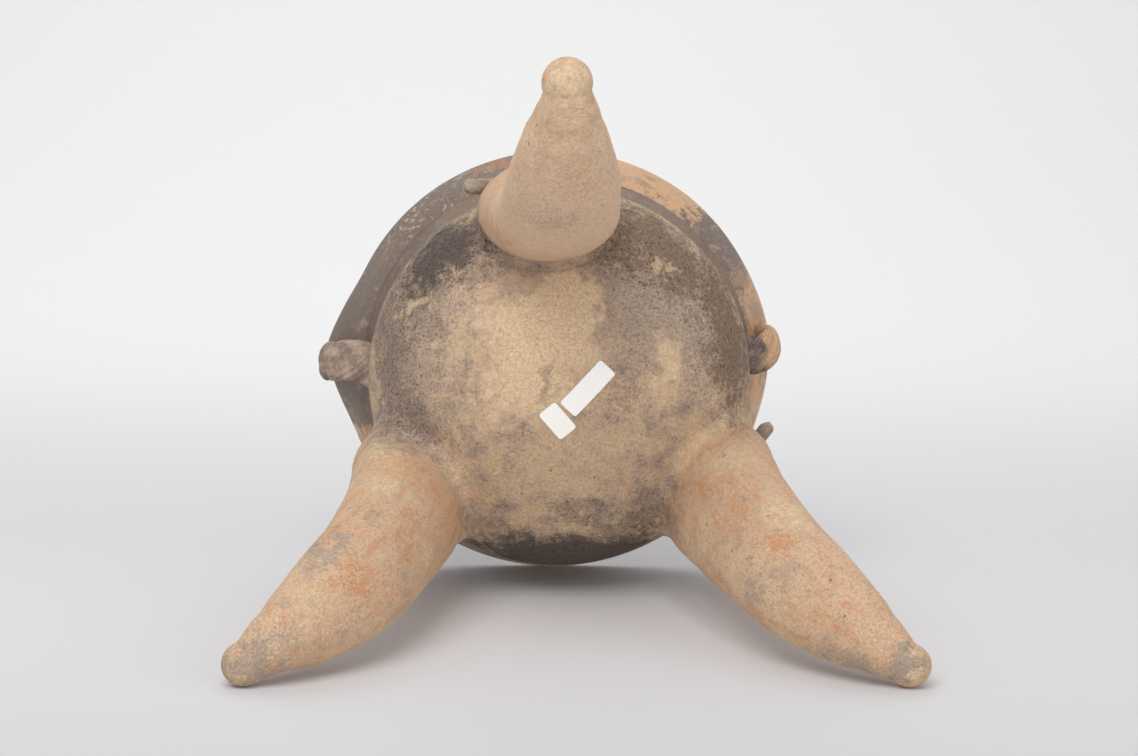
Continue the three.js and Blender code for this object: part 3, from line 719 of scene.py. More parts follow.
# Clouds on the front leg; its peach and pale clouds are painted light, paler clay where the leg's face
# turns down from the overhead lamp
FRONT_LEG_CLOUDS_AND_PAINTED_LIGHT = (
    Cloud("painted_light_peach", (0.0, -0.06, 0.05), (0.06, 0.07, 0.09), 0.95, 0.8, 0.5),
    Cloud("leg_pale", (-0.0008, -0.1061, 0.002), (0.01, 0.01, 0.012), 0.8, 0.8, 0.8),
    Cloud("blush", (0.006, -0.07, 0.014), (0.01, 0.014, 0.012), 0.25, 0.9, 1.2),
    Cloud("ash", (-0.004, -0.054, 0.034), (0.016, 0.012, 0.014), 0.4, 0.9, 1.2),
    Cloud("painted_light_peach", (-0.022, -0.054, 0.06), (0.014, 0.016, 0.04), 1.0, 0.8, 0.5),
    Cloud("leg_pale", (0.0, -0.04, 0.085), (0.026, 0.008, 0.03), 0.5, 0.8, 0.8),
    Cloud("brown", (0.0021, -0.0651, 0.0191), (0.0016, 0.001, 0.001), 0.9, 0.6, 0.6),
)
LEG_CLOUDS = {"front": FRONT_LEG_CLOUDS_AND_PAINTED_LIGHT, "left": LEFT_LEG_CLOUDS, "right": RIGHT_LEG_CLOUDS}
NECK_CLOUDS = (
    Cloud("soot", (-0.062, 0.005, 0.179), (0.034, 0.07, 0.03), 0.6, 0.7, 0.6),
    Cloud("soot", (0.06, -0.02, 0.179), (0.01, 0.016, 0.03), 0.4, 0.9, 1.0, (0, 0, 40)),
)
RIM_CLOUDS = (
    Cloud("rim_tan", (0.092, 0.03, 0.198), (0.04, 0.06, 0.05), 1, 0.35, 0.8),
    Cloud("rim_tan", (0.036, -0.054, 0.2), (0.04, 0.02, 0.03), 1, 0.3, 0.8, (0, 0, 32)),
    Cloud("burnish", (0.073, -0.016, 0.193), (0.012, 0.018, 0.01), 0.6, 0.4, 1.3, (0, 0, 10)),
    Cloud("brown", (0.082, 0.01, 0.193), (0.006, 0.014, 0.01), 0.5, 0.8, 1.4),
    Cloud("rim_tan", (-0.073, 0.056, 0.198), (0.016, 0.014, 0.02), 0.9, 0.4, 0.9),
    Cloud("brown", (-0.064, -0.02, 0.19), (0.012, 0.024, 0.01), 0.5, 0.9, 1.2),
    Cloud("rim_tan", (0.005, 0.113, 0.199), (0.08, 0.009, 0.006), 0.9, 0.4, 0.5),
    Cloud("chip", (-0.019, -0.056, 0.196), (0.01, 0.0035, 0.005), 0.75, 0.4, 1.2, (0, 0, -14)),
    Cloud("flake", (-0.014, -0.057, 0.197), (0.003, 0.0015, 0.004), 0.8, 0.5, 1.2),
)


def fired_clay(name, colours, sizes, clouds, wiping, buff_from=1.1, worn=0.0, inside=False):
    """Coarse fired clay: bowl colours near the bowl, leg buff away from it, and its fire clouds, among
    them some painted shade and light.
    """
    clay = Finish(name, specular=0.2)
    wander = clay.warped((0.020, 0.028), (0.006, 0.009))
    ragged = clay.torn(0.0036)
    mottle = clay.noise(0.009, detail=5.0, roughness=0.60)
    broad = clay.noise(0.030, detail=3.0)
    grain = clay.noise(0.0009, detail=3.0, roughness=0.7)
    streaks = clay.wiped(0.0040, 7.0, wiping, detail=5.0)
    from_bowl = clay.from_middle(
        wander, BOWL_CENTRE, (sizes.bowl_radius, sizes.bowl_radius, sizes.bowl_depth))
    on_leg = clay.ramp(from_bowl, buff_from, buff_from + 0.09)

    bowl = clay.coated(colours.tan,
                       (colours.taupe, mottle, 0.38, 0.66, 1.0),
                       (colours.mauve, mottle, 0.56, 0.76, 0.6))
    leg = clay.coated(colours.leg_buff,
                      (colours.leg_pale, broad, 0.50, 0.72, 0.8),
                      (colours.blush, broad, 0.46, 0.32, 0.3),
                      (colours.ash, mottle, 0.52, 0.74, 0.6),
                      (colours.blush, streaks, 0.50, 0.70, 0.7))
    colour = clay.blend(bowl, leg, on_leg)
    colour = clay.clouded(colour, colours, clouds, wander, ragged)
    if inside:
        outwards = clay.vectors("SUBTRACT", clay.place, BOWL_CENTRE + Vector((0, 0, 0.03)))
        facing = clay.tree.nodes["Texture Coordinate"].outputs["Normal"]
        outwards = clay.vectors("DOT_PRODUCT", outwards, facing)
        lining = clay.coated(colours.mauve,
                             (colours.brown, broad, 0.4, 0.6, 1.0),
                             (colours.soot, mottle, 0.45, 0.75, 0.6))
        colour = clay.coated(colour, (lining, outwards, 0.0, -0.004, 1.0))
    if worn:
        height = clay.add("ShaderNodeSeparateXYZ", {0: clay.place}).outputs[2]
        edge = clay.maths("ABSOLUTE", clay.maths("SUBTRACT", height, SHOULDER_HEIGHT + 0.0004))
        rubbed = clay.maths("MULTIPLY", clay.ramp(edge, 0.0011, 0.0002, 0.0, worn),
                            clay.ramp(mottle, 0.42, 0.58))
        colour = clay.blend(colour, colours.flake, rubbed)

    # Dark and pale grit, weaker on pale clay and on the wiped legs
    shaken = clay.warped((0.0020, 0.0016))
    pepper = clay.noise(0.0011, detail=4.0, roughness=0.8, at=shaken)
    pepper = clay.maths("MAXIMUM", clay.ramp(pepper, 0.50, 0.66, 0.0, 0.85),
                        clay.specks(0.0014, 0.50, 0.20, at=shaken))
    salt = clay.noise(0.0012, detail=4.0, roughness=0.8, at=clay.scaled((1, -1, 1)))
    salt = clay.ramp(salt, 0.53, 0.68)
    lightness = clay.add("ShaderNodeRGBToBW", {0: colour}).outputs[0]
    coarse = clay.ramp(lightness, 0.20, 0.55, 1.0, 0.15)
    coarse = clay.maths("MULTIPLY", coarse, clay.ramp(on_leg, 0, 1, 1.0, 0.35))
    colour = clay.blend(colour, (0.42, 0.36, 0.32), clay.maths("MULTIPLY", pepper, coarse), "MULTIPLY")
    colour = clay.blend(colour, (0.56, 0.45, 0.33),
                        clay.maths("MULTIPLY", salt, clay.ramp(lightness, 0.10, 0.30, 0.10, 0.55)))
    pits = clay.specks(0.0032, 0.20, 0.16)
    colour = clay.coated(colour,
                         ((0.06, 0.045, 0.035), pits, 0.0, 1.0, 0.6),
                         ((0.74, 0.73, 0.72), grain, 0.60, 0.38, 0.7, "MULTIPLY"))
    lines = clay.ramp(clay.wiped(0.0010, 16.0, wiping), 0.55, 0.72, 0.0, 0.24)
    colour = clay.blend(colour, (0.50, 0.42, 0.36), clay.maths("MULTIPLY", lines, on_leg))
    layers = ((ragged, 0.35), (grain, 0.35), (pepper, -0.30), (salt, 0.20), (lines, -0.6), (pits, -0.7))
    return clay.finished(colour, 0.0004, layers, clay.ramp(ragged, 0.0, 1.0, 0.74, 0.94))


def leg_clay(colours, sizes, leg):
    """The clay that a leg shares with its nub and its luting."""
    name = f"leg_clay_{leg.name}"
    if name not in bpy.data.materials:
        top, low = (turned(leg_middle(sizes, share), leg.foot_deg) for share in (0.3, 0.9))
        clouds = BOWL_CLOUDS + LEG_CLOUDS[leg.name]
        return fired_clay(name, colours, sizes, clouds, low - top, leg.buff_from)
    return bpy.data.materials[name]


def neck_clay(colours):
    """Smoothed brown neck with the marks of the wiping round it."""
    clay = Finish("neck_clay", roughness=0.6, specular=0.4)
    wander = clay.warped((0.020, 0.028), (0.006, 0.009))
    ragged = clay.torn(0.0040)
    lines = clay.noise(0.0012, detail=3.0, at=clay.scaled((0.12, 0.12, 1)))
    mottle = clay.noise(0.010, detail=6.0, roughness=0.65)
    grain = clay.noise(0.0014, detail=4.0, roughness=0.7)
    colour = clay.coated(colours.neck, (colours.mauve, mottle, 0.42, 0.70, 1.0))
    colour = clay.clouded(colour, colours, NECK_CLOUDS, wander, ragged)
    colour = clay.coated(colour,
                         ((0.56, 0.46, 0.36), grain, 0.60, 0.74, 0.5),
                         ((0.55, 0.52, 0.50), grain, 0.48, 0.30, 0.8, "MULTIPLY"))
    layers = ((lines, 0.6), (grain, 0.4))
    return clay.finished(colour, 0.0003, layers, clay.ramp(mottle, 0.3, 0.7, 0.5, 0.78))


def rim_clay(colours):
    """Dark burnished rim that turns tan on one side, with flaked and chipped places."""
    clay = Finish("rim_clay", roughness=0.5, specular=0.45)
    wander = clay.warped((0.016, 0.022), (0.005, 0.009))
    ragged = clay.torn(0.0040)
    mottle = clay.noise(0.008, detail=6.0, roughness=0.65)
    grain = clay.noise(0.0014, detail=5.0, roughness=0.7)
    colour = clay.coated(colours.burnish, (colours.neck, mottle, 0.46, 0.70, 1.0))
    colour = clay.clouded(colour, colours, RIM_CLOUDS, wander, ragged)
    turning = clay.noise(0.0050, detail=5.0, at=clay.scaled((0.45, 0.45, 1)))
    colour = clay.coated(colour,
                         (colours.brown, turning, 0.52, 0.66, 0.6),
                         (colours.ash, mottle, 0.56, 0.66, 0.5))
    flaked = clay.from_middle(wander, (-0.046, -0.042, 0.194), (0.030, 0.017, 0.012), (0, 0, -45))
    flaking = clay.maths("MULTIPLY", clay.ramp(flaked, 1.2, 0.5),
                         clay.ramp(clay.noise(0.0026, detail=6.0, roughness=0.75), 0.52, 0.60))
    colour = clay.blend(colour, colours.flake, clay.maths("MULTIPLY", flaking, 0.85))
    colour = clay.coated(colour,
                         ((0.62, 0.50, 0.38), grain, 0.58, 0.74, 0.45),
                         ((0.55, 0.52, 0.50), grain, 0.46, 0.30, 0.8, "MULTIPLY"))
    rough = clay.maths("MULTIPLY_ADD", flaking, 0.3, clay.ramp(mottle, 0.3, 0.7, 0.42, 0.66))
    return clay.finished(colour, 0.0004, ((ragged, 0.3), (grain, 0.3), (flaking, -0.5)), rough)


def rough_clay(name, under, over, pale, outside=None):
    """Unsmoothed sandy clay; where it stands out past the neck, it may have a colour of its own."""
    clay = Finish(name, roughness=0.9)
    mottle = clay.noise(0.006, detail=6.0, roughness=0.7)
    grit = clay.noise(0.0011, detail=5.0, roughness=0.75)
    colour = clay.coated(under, (over, mottle, 0.40, 0.62, 1.0))
    if outside:
        from_axis = clay.from_middle(clay.warped((0.006, 0.008)), AXIS, (1, 1, 1000))
        colour = clay.coated(colour, (outside, from_axis, 0.0800, 0.0835, 0.9))
    colour = clay.coated(colour,
                         (pale, grit, 0.55, 0.70, 0.5),
                         ((0.6, 0.58, 0.56), grit, 0.48, 0.34, 0.8, "MULTIPLY"))
    return clay.finished(colour, 0.0005, ((mottle, 0.6), (grit, 0.6)))


def label_paper(colours):
    """Smooth white paper with a faint fibre."""
    paper = Finish("label_paper", roughness=0.6, specular=0.4)
    fibre = paper.noise(0.0008, detail=4.0)
    colour = paper.coated(colours.paper, ((0.80, 0.78, 0.72), fibre, 0.55, 0.80, 0.35))
    return paper.finished(colour, 0.00003, ((fibre, 1.0),))


# Pieces


class PieceOperator:
    """What the pieces' operators share: each models with the scene's sizes and colours."""

    bl_options = {"REGISTER", "UNDO"}

    def execute(self, context):
        self.model(context.scene.vessel_sizes, context.scene.vessel_colours)
        return {"FINISHED"}


class VESSEL_OT_bowl(PieceOperator, bpy.types.Operator):
    """Turn the round-bottomed bowl with its soft shoulder"""

    bl_idname = "vessel.bowl"
    bl_label = "Bowl"

    steps = 64

    def model(self, sizes, colours):
        radius, wall, top = sizes.bowl_radius, sizes.bowl_wall, BOWL_HIGH.z
        shoulder = ((0.0000, 0.0009), (0.0003, 0.0017), (0.0008, 0.0022), (0.0014, 0.0025))
        outline = bowl_outline(radius, sizes.bowl_depth, self.steps)
        outline += [(radius - inward, SHOULDER_HEIGHT + up) for inward, up in shoulder]
        outline += [(radius - wall + 0.0006, top), (radius - wall + 0.0001, top - 0.0006)]
        outline += bowl_outline(radius - wall, sizes.bowl_depth - wall, self.steps)[::-1]
        piece = lathe(new_piece("bowl"), outline)
        hand_dents(piece, sizes)
        material = fired_clay("bowl_clay", colours, sizes, (*BOWL_CLOUDS, FRONT_ROOT_PAINTED_SHADE),
                              Vector((1, 0, 0)), worn=0.6, inside=True)
        dress(piece, material, "bowl_body")


class VESSEL_OT_neck(PieceOperator, bpy.types.Operator):
    """Turn the neck band that leans out over the shoulder"""

    bl_idname = "vessel.neck"
    bl_label = "Neck"

    def model(self, sizes, colours):
        foot = sizes.bowl_radius - 0.0010
        top = sizes.bowl_radius + sizes.neck_flare
        side = [Vector((foot, 0, NECK_LOW.z - 0.0008)),
                Vector((mix(foot, top, -0.03), 0, mix(NECK_LOW.z, NECK_HIGH.z, 0.25))),
                Vector((mix(foot, top, 0.22), 0, mix(NECK_LOW.z, NECK_HIGH.z, 0.55))),
                Vector((top, 0, NECK_HIGH.z + 0.0008))]
        outside = [through(side, share) for share in spread(0, 1, 18)]
        outline = [(point.x, point.z) for point in outside]
        outline += [(point.x - sizes.neck_wall, point.z) for point in reversed(outside)]
        piece = lathe(new_piece("neck"), outline + outline[:1])
        hand_dents(piece, sizes)
        dress(piece, neck_clay(colours), "neck_band")


class VESSEL_OT_rim(PieceOperator, bpy.types.Operator):
    """Turn the folded rim and draw it out to a soft ear over each handle"""

    bl_idname = "vessel.rim"
    bl_label = "Rim"

    def model(self, sizes, colours):
        neck_top = sizes.bowl_radius + sizes.neck_flare
        fold, edge = neck_top + 0.0022, neck_top + sizes.rim_overhang
        hole, lip = neck_top - sizes.neck_wall, edge - 0.007
        stations = ((neck_top - 0.0008, -0.04), (fold, 0.10), (mix(fold, edge, 0.65), 0.5),
                    (edge, 0.82), (edge - 0.0008, 0.95), (edge - 0.0032, 1.0), (lip, 0.93),
                    (mix(hole, lip, 0.5), 0.45), (hole, -0.04))
        corners = [Vector((radius, 0, mix(RIM_LOW.z, RIM_HIGH.z, up))) for radius, up in stations]
        outline = [through(corners, share) for share in spread(0, 1, 64)]
        outline = [(point.x, point.z) for point in outline]
        piece = lathe(new_piece("rim"), outline + outline[:1])
        ear_top = mix(RIM_LOW.z, RIM_HIGH.z, 0.82)

        def draw_out(point):
            flat = Vector((point.x - AXIS.x, point.y - AXIS.y, 0))
            over = smoothstep(flat.length, hole, mix(hole, edge, 0.4))
            reach = ear_reach(math.atan2(flat.y, flat.x)) * over
            return point + flat.normalized() * reach * smoothstep(point.z, RIM_LOW.z, ear_top)

        place_points(piece, draw_out)
        hand_dents(piece, sizes)
        dress(piece, rim_clay(colours), "rim_band")


class VESSEL_OT_legs(PieceOperator, bpy.types.Operator):
    """Build up the three hollow legs and cut their rattle slits"""

    bl_idname = "vessel.legs"
    bl_label = "Legs"

    def model(self, sizes, colours):
        hollow, slit, plug = self.hollow(sizes), self.slit(sizes), self.plug(sizes)
        for leg in LEGS:
            piece = self.horn(sizes, leg)
            cut_away(piece, *(own_copy(cutter) for cutter in (hollow, slit, plug)))
            soften(piece, CLAY_VOXEL, 5)
            if min(point.co.z for point in piece.data.vertices) > leg.nub_radius:
                raise RuntimeError(f"The cuts left no foot on {piece.name}")
            self.lean(sizes, leg, piece)
            hand_dents(piece, sizes)
            dress(piece, leg_clay(colours, sizes, leg), f"leg_shell_{leg.name}")
        for cutter in (hollow, slit, plug):
            bpy.data.objects.remove(cutter)

    def horn(self, sizes, leg):
        """The leg's outside, down to where it runs into its nub."""
        rings = [ring_across(leg_middle(sizes, share), leg_heading(sizes, share),
                             *leg_section(sizes, share)) for share in spread(0, 1, LEG_RINGS)]
        rings += [leg_tail(sizes, leg, share) for share in spread(0, 1, 12)[1:]]
        piece = new_piece(f"leg_{leg.name}")
        build_up(rings, LEG_SIDES, pointed=(False, False))
        close_piece()
        return piece

    def hollow(self, sizes):
        rings = []
        for share in spread(0, CAVITY_END - 0.0005, LEG_RINGS):
            taper = max(share - CAVITY_TAPER_FROM, 0) / (CAVITY_END - CAVITY_TAPER_FROM)
            section = leg_section(sizes, share, -sizes.leg_wall, math.sqrt(1 - taper ** 2))
            rings.append(ring_across(leg_middle(sizes, share), leg_heading(sizes, share), *section))
        piece = new_piece("hollow")
        build_up(rings, LEG_SIDES)
        close_piece()
        return piece

    def slit(self, sizes):
        """A long block with round ends, through the outer wall at the slit's height."""
        reach = next(middle.x for middle in (leg_middle(sizes, share) for share in spread(0, 1, 400))
                     if middle.z < SLIT_HEIGHT)
        piece = new_piece("slit")
        bpy.ops.mesh.primitive_cube_add(
            size=1.0, location=AXIS + Vector((reach + SLIT_SIZE[0] / 2, 0, SLIT_HEIGHT)),
            scale=SLIT_SIZE)
        mesh = bmesh.from_edit_mesh(piece.data)
        for edge in mesh.edges:
            ends = edge.verts[0].co - edge.verts[1].co
            edge.select_set(abs(ends.x) > SLIT_SIZE[0] / 2)
        bmesh.update_edit_mesh(piece.data)
        bpy.ops.mesh.bevel(offset=SLIT_SIZE[1] * 0.49, segments=6)
        close_piece()
        return piece

    def plug(self, sizes):
        """The bowl's outside, a little smaller, so that a leg's root runs into the wall."""
        sunk = 0.001
        radius = sizes.bowl_radius - sunk
        outline = bowl_outline(radius, sizes.bowl_depth - sunk, 40)
        outline += [(radius, RIM_HIGH.z), (0, RIM_HIGH.z)]
        return lathe(new_piece("plug"), outline)

    def lean(self, sizes, leg, piece):
        """Turns the upright leg to its place, a little further towards its foot."""
        heights = [leg_middle(sizes, share).z for share in spread(0, 1, 200)]

        def move(point):
            from_axis = point - AXIS
            share = sum(height > from_axis.z for height in heights) / len(heights)
            return turned(from_axis, mix(leg.root_deg, leg.foot_deg, share))

        place_points(piece, move)


class VESSEL_OT_nubs(PieceOperator, bpy.types.Operator):
    """Model the rounded nub that each leg stands on"""

    bl_idname = "vessel.nubs"
    bl_label = "Nubs"

    sides = 64
    steps = 28

    def model(self, sizes, colours):
        for leg in LEGS:
            piece = new_piece(f"nub_{leg.name}")
            build_up(self.rings(sizes, leg), self.sides, pointed=(True, True))
            bpy.ops.mesh.select_all(action="SELECT")
            bpy.ops.mesh.bisect(
                plane_co=(0, 0, 0), plane_no=(0, 0, 1), clear_inner=True, use_fill=True)
            close_piece()
            place_points(piece, lambda point, leg=leg: turned(point - AXIS, leg.foot_deg))
            soften(piece, FINE_VOXEL, 4)
            hand_dents(piece, sizes)
            dress(piece, leg_clay(colours, sizes, leg), f"nub_foot_{leg.name}")

    def rings(self, sizes, leg):
        """Rings round the nub's head, from inside the leg's end to the tip."""
        out = (leg_tail(sizes, leg, 1).middle - leg_tail(sizes, leg, 0.9).middle).normalized()
        rings = []
        for angle in spread(-math.pi / 2 + 0.03, math.pi / 2 - 0.03, self.steps):
            radius = leg.nub_radius * math.cos(angle)
            middle = nub_centre(sizes, leg) + out * leg.nub_radius * math.sin(angle)
            rings.append(ring_across(middle, out, radius, radius))
        return rings


class VESSEL_OT_luting(PieceOperator, bpy.types.Operator):
    """Smooth a wedge of soft clay into the seam between each leg and the bowl"""

    bl_idname = "vessel.luting"
    bl_label = "Luting"

    around_steps = 200
    arc_steps = 10

    def model(self, sizes, colours):
        for leg in LEGS:
            sections = [self.section(sizes, leg, math.tau * step / self.around_steps)
                        for step in range(self.around_steps)]
            piece = new_piece(f"luting_{leg.name}")
            bpy.ops.mesh.primitive_torus_add(
                major_segments=self.around_steps, minor_segments=len(sections[0]),
                major_radius=sizes.leg_half_width, minor_radius=leg.luting_reach / 2)
            bpy.ops.object.mode_set(mode="OBJECT")
            places = [point for section in sections for point in section]
            for point, place in zip(piece.data.vertices, places):
                point.co = place
            bpy.ops.object.mode_set(mode="EDIT")
            close_piece()
            hand_dents(piece, sizes)
            dress(piece, leg_clay(colours, sizes, leg), f"luting_fillet_{leg.name}")

    def section(self, sizes, leg, around):
        """A hollow curve from the bowl's skin to the leg's, closed behind inside the clay."""
        step = 0.002
        share = leg_seam(sizes, leg, around)
        seam = leg_point(sizes, leg, share, around)
        along = (leg_point(sizes, leg, share + step, around)
                 - leg_point(sizes, leg, share - step, around))
        across = (leg_point(sizes, leg, share, around + step)
                  - leg_point(sizes, leg, share, around - step))
        off_leg = along.cross(across).normalized()
        off_bowl = bowl_normal(sizes, seam)
        on_bowl = (off_leg - off_bowl * off_leg.dot(off_bowl)).normalized()
        reach = leg.luting_reach
        bowl_end = onto_bowl(sizes, seam + on_bowl * reach)
        leg_share = share + reach * 2 * step / along.length
        leg_end = leg_point(sizes, leg, leg_share, around)
        bowl_off = bowl_normal(sizes, bowl_end)
        bowl_back = seam - bowl_end
        bowl_back = (bowl_back - bowl_off * bowl_back.dot(bowl_off)).normalized()
        leg_back = (leg_point(sizes, leg, leg_share - step, around) - leg_end).normalized()
        pull = reach * 0.62
        curve = [bowl_end, bowl_end + bowl_back * pull, leg_end + leg_back * pull, leg_end]
        points = []
        for part in spread(0, 1, self.arc_steps):
            first = [a.lerp(b, part) for a, b in zip(curve, curve[1:])]
            second = [a.lerp(b, part) for a, b in zip(first, first[1:])]
            points.append(second[0].lerp(second[1], part))
        sunk = 0.0004
        return [bowl_end - bowl_back * 0.0012 - bowl_off * sunk, *points,
                leg_end - leg_back * 0.0012 - off_leg * sunk,
                seam - off_bowl * 0.002 - off_leg * 0.002]


class VESSEL_OT_rolls(PieceOperator, bpy.types.Operator):
    """Lay a roll of clay over the top of each leg"""

    bl_idname = "vessel.rolls"
    bl_label = "Rolls"

    from_deg = 9.0
    to_deg = -21.5
    steps = 30
    height = SHOULDER_HEIGHT - 0.0025
    end_lift = 0.006

    def model(self, sizes, colours):
        radius = sizes.roll_radius
        material = rough_clay("roll_clay", colours.ash, colours.mauve, colours.flake)
        for leg in LEGS:
            piece = new_piece(f"roll_{leg.name}")
            middle = AXIS + Vector((sizes.bowl_radius + radius, 0, self.height))
            bpy.ops.mesh.primitive_circle_add(
                vertices=28, radius=radius, location=middle, rotation=(math.pi / 2, 0, 0),
                fill_type="NGON")
            bpy.ops.mesh.spin(steps=self.steps, angle=math.radians(self.from_deg - self.to_deg),
                              center=AXIS, axis=(0, 0, 1))
            close_piece()
            place_points(piece, lambda point, leg=leg: self.lay(sizes, leg, point))
            soften(piece, FINE_VOXEL, 6)
            dent(piece, 0.005, 0.0012)
            dress(piece, material, f"clay_roll_{leg.name}")

    def lay(self, sizes, leg, point):
        """Moves a point of the bent rod to the leg's place, with one end lifted and both rounded."""
        flat = point - AXIS
        bend = sizes.bowl_radius + sizes.roll_radius
        span = math.radians(self.from_deg - self.to_deg)
        share = min(abs(math.atan2(flat.y, flat.x)) / span, 1.0)
        to_end = min(share, 1 - share) * span * bend
        rounding = math.sqrt(max(1 - max(1 - to_end / sizes.roll_radius, 0) ** 2, 0.02))
        lift = self.end_lift * smoothstep(share, 0.55, 1)
        place = Vector((bend + lift + (math.hypot(flat.x, flat.y) - bend) * rounding, 0,
                        self.height - lift / 2 + (flat.z - self.height) * rounding))
        return turned(place, leg.root_deg + mix(self.from_deg, self.to_deg, share))


class VESSEL_OT_straps(PieceOperator, bpy.types.Operator):
    """Twist the two strap handles from three strands"""

    bl_idname = "vessel.straps"
    bl_label = "Strap handles"

    sides = 144
    steps = 90
    first_twist_deg = 60
    twist_deg = 400
    # The strands' outline lies inside its ring, so the rings are made that much wider
    lobes_draw_in = 1.15

    def model(self, sizes, colours):
        looks = {
            "left": rough_clay("strap_clay_left", colours.mauve, colours.taupe, colours.flake),
            "right": rough_clay(
                "strap_clay_right", colours.soot, colours.mauve, colours.flake, colours.rim_tan),
        }
        for handle in HANDLES:
            piece = new_piece(f"strap_{handle.name}")
            build_up(self.rings(sizes, handle), self.sides, self.strands, pointed=(False, False))
            close_piece()
            place_points(piece, lambda point, handle=handle: turned(
                point - AXIS, handle.azimuth_deg + mix(
                    handle.shoulder_turn_deg, handle.rim_turn_deg,
                    smoothstep(point.z, SHOULDER_HEIGHT, RIM_LOW.z))))
            dent(piece, 0.006, 0.0006)
            dress(piece, looks[handle.name], f"strap_handle_{handle.name}")

    def strands(self, middle):
        """Presses the first ring into the outline of three grooved strands that lie together."""
        lobe, offset, grooves, groove = 0.60, 0.40, 15, 0.075
        mesh = bmesh.from_edit_mesh(bpy.context.object.data)
        for point in mesh.verts:
            flat = point.co - middle
            turn = math.atan2(flat.y, flat.x)
            off = turn - round(turn / (math.tau / 3)) * math.tau / 3
            radius = offset * math.cos(off) + math.sqrt(lobe ** 2 - (offset * math.sin(off)) ** 2)
            radius -= groove * (1 - abs(math.sin(turn * grooves / 2)))
            point.co = middle + flat.normalized() * radius
        bmesh.update_edit_mesh(bpy.context.object.data)

    def rings(self, sizes, handle):
        foot = sizes.bowl_radius
        edge = foot + sizes.neck_flare + sizes.rim_overhang + handle.reach
        sunk = 0.0036
        line = [Vector((edge - 0.0006 - sunk, 0, mix(RIM_LOW.z, RIM_HIGH.z, 0.7))),
                Vector((edge + 0.0006 - sunk, 0, mix(RIM_LOW.z, RIM_HIGH.z, 0.05))),
                Vector((mix(foot, edge, 0.72), 0, mix(SHOULDER_HEIGHT, NECK_HIGH.z, 0.35))),
                Vector((foot - sunk, 0, SHOULDER_HEIGHT - sunk / 2))]
        rings = []
        for share in spread(0, 1, self.steps):
            near, far = max(share - 0.001, 0), min(share + 0.001, 1)
            heading = (through(line, far) - through(line, near)).normalized()
            girth = self.lobes_draw_in * mix(handle.rim_girth, handle.shoulder_girth, share)
            rings.append(ring_across(through(line, share), heading, sizes.strap_half_depth,
                                     sizes.strap_half_width * girth,
                                     self.first_twist_deg + self.twist_deg * share))
        return rings


class VESSEL_OT_pellets(PieceOperator, bpy.types.Operator):
    """Roll the loose clay pellets inside the legs"""

    bl_idname = "vessel.pellets"
    bl_label = "Rattle pellets"

    def model(self, sizes, colours):
        material = rough_clay("pellet_clay", colours.leg_buff, colours.blush, colours.flake)
        for leg in LEGS:
            for number in (1, 2, 3):
                self.roll(material, f"{leg.name}_{number}")

    def roll(self, material, name):
        low, high = (Vector(corner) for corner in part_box(f"rattle_pellet_{name}"))
        piece = new_piece(f"pellet_{name}")
        middle = (low + high) / 2
        bpy.ops.mesh.primitive_ico_sphere_add(subdivisions=5, radius=0.5, location=middle)
        bpy.ops.transform.resize(value=high - low, center_override=middle)
        close_piece()
        dent(piece, 0.004, 0.0006)
        dress(piece, material, f"rattle_pellet_{name}", f"pellet_{name}")


class VESSEL_OT_labels(PieceOperator, bpy.types.Operator):
    """Stick the two blank paper labels under the bowl"""

    bl_idname = "vessel.labels"
    bl_label = "Paper labels"

    corner = 0.0011
    thickness = 0.0002
    gap = 0.0003
    cuts_along = 12
    cuts_across = 5

    def model(self, sizes, colours):
        material = label_paper(colours)
        for label in LABELS:
            piece = new_piece(f"label_{label.name}")
            start = (0, 0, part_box(f"paper_label_{label.name}")[0][2])
            bpy.ops.mesh.primitive_plane_add(size=1.0, location=start)
            bpy.ops.transform.resize(
                value=(label.length, label.width, 1), center_override=start)
            bpy.ops.mesh.bevel(offset=self.corner, segments=6, affect="VERTICES")
            # Cut into a grid, so that the sheet can bend to the bowl
            for way, reach, cuts in (((1, 0, 0), label.length, self.cuts_along),
                                     ((0, 1, 0), label.width, self.cuts_across)):
                for share in spread(-0.5, 0.5, cuts)[1:-1]:
                    bpy.ops.mesh.select_all(action="SELECT")
                    bpy.ops.mesh.bisect(plane_co=Vector(way) * reach * share, plane_no=way)
            close_piece()
            spin = Matrix.Rotation(math.radians(label.turn_deg), 3, "Z")
            middle = Vector((*label.place, 0)) + AXIS

            def lay(point):
                """Moves a point of the flat label to its place, just under the bowl."""
                place = middle + spin @ Vector((point.x, point.y, 0))
                out = math.hypot(place.x - AXIS.x, place.y - AXIS.y) / sizes.bowl_radius
                place.z = SHOULDER_HEIGHT - sizes.bowl_depth * math.sqrt(1 - out ** 2) - self.gap
                return place

            place_points(piece, lay)
            finish_modifier(piece, "SOLIDIFY", thickness=self.thickness, offset=0.0)
            dress(piece, material, f"paper_label_{label.name}")
            bpy.ops.object.shade_smooth_by_angle(angle=math.radians(30))


# Floor, lamps and camera

CAMERA_PLACE = (-0.038137, -0.164448, -0.7561)
CAMERA_RIGHT = (0.99856, 0.01652, -0.05104)
CAMERA_UP = (0.02643, -0.97944, 0.20001)
CAMERA_AHEAD = (0.04669, 0.20107, 0.97846)
LENS_MM = 75.92
SENSOR_MM = 36.0
RESTS_ON = ("nub_left", "nub_right", "rim")


def resting_floor():
    """The floor under the two feet and the rim that the vessel lies on: a point, and the way up."""
    up = Vector((0, -1, 0))
    for _ in range(6):
        left, right, back = (
            min((point.co for point in bpy.data.objects[name].data.vertices), key=up.dot)
            for name in RESTS_ON)
        up = (right - left).cross(back - left).normalized()
        if up.y > 0:
            up.negate()
    return left.copy(), up


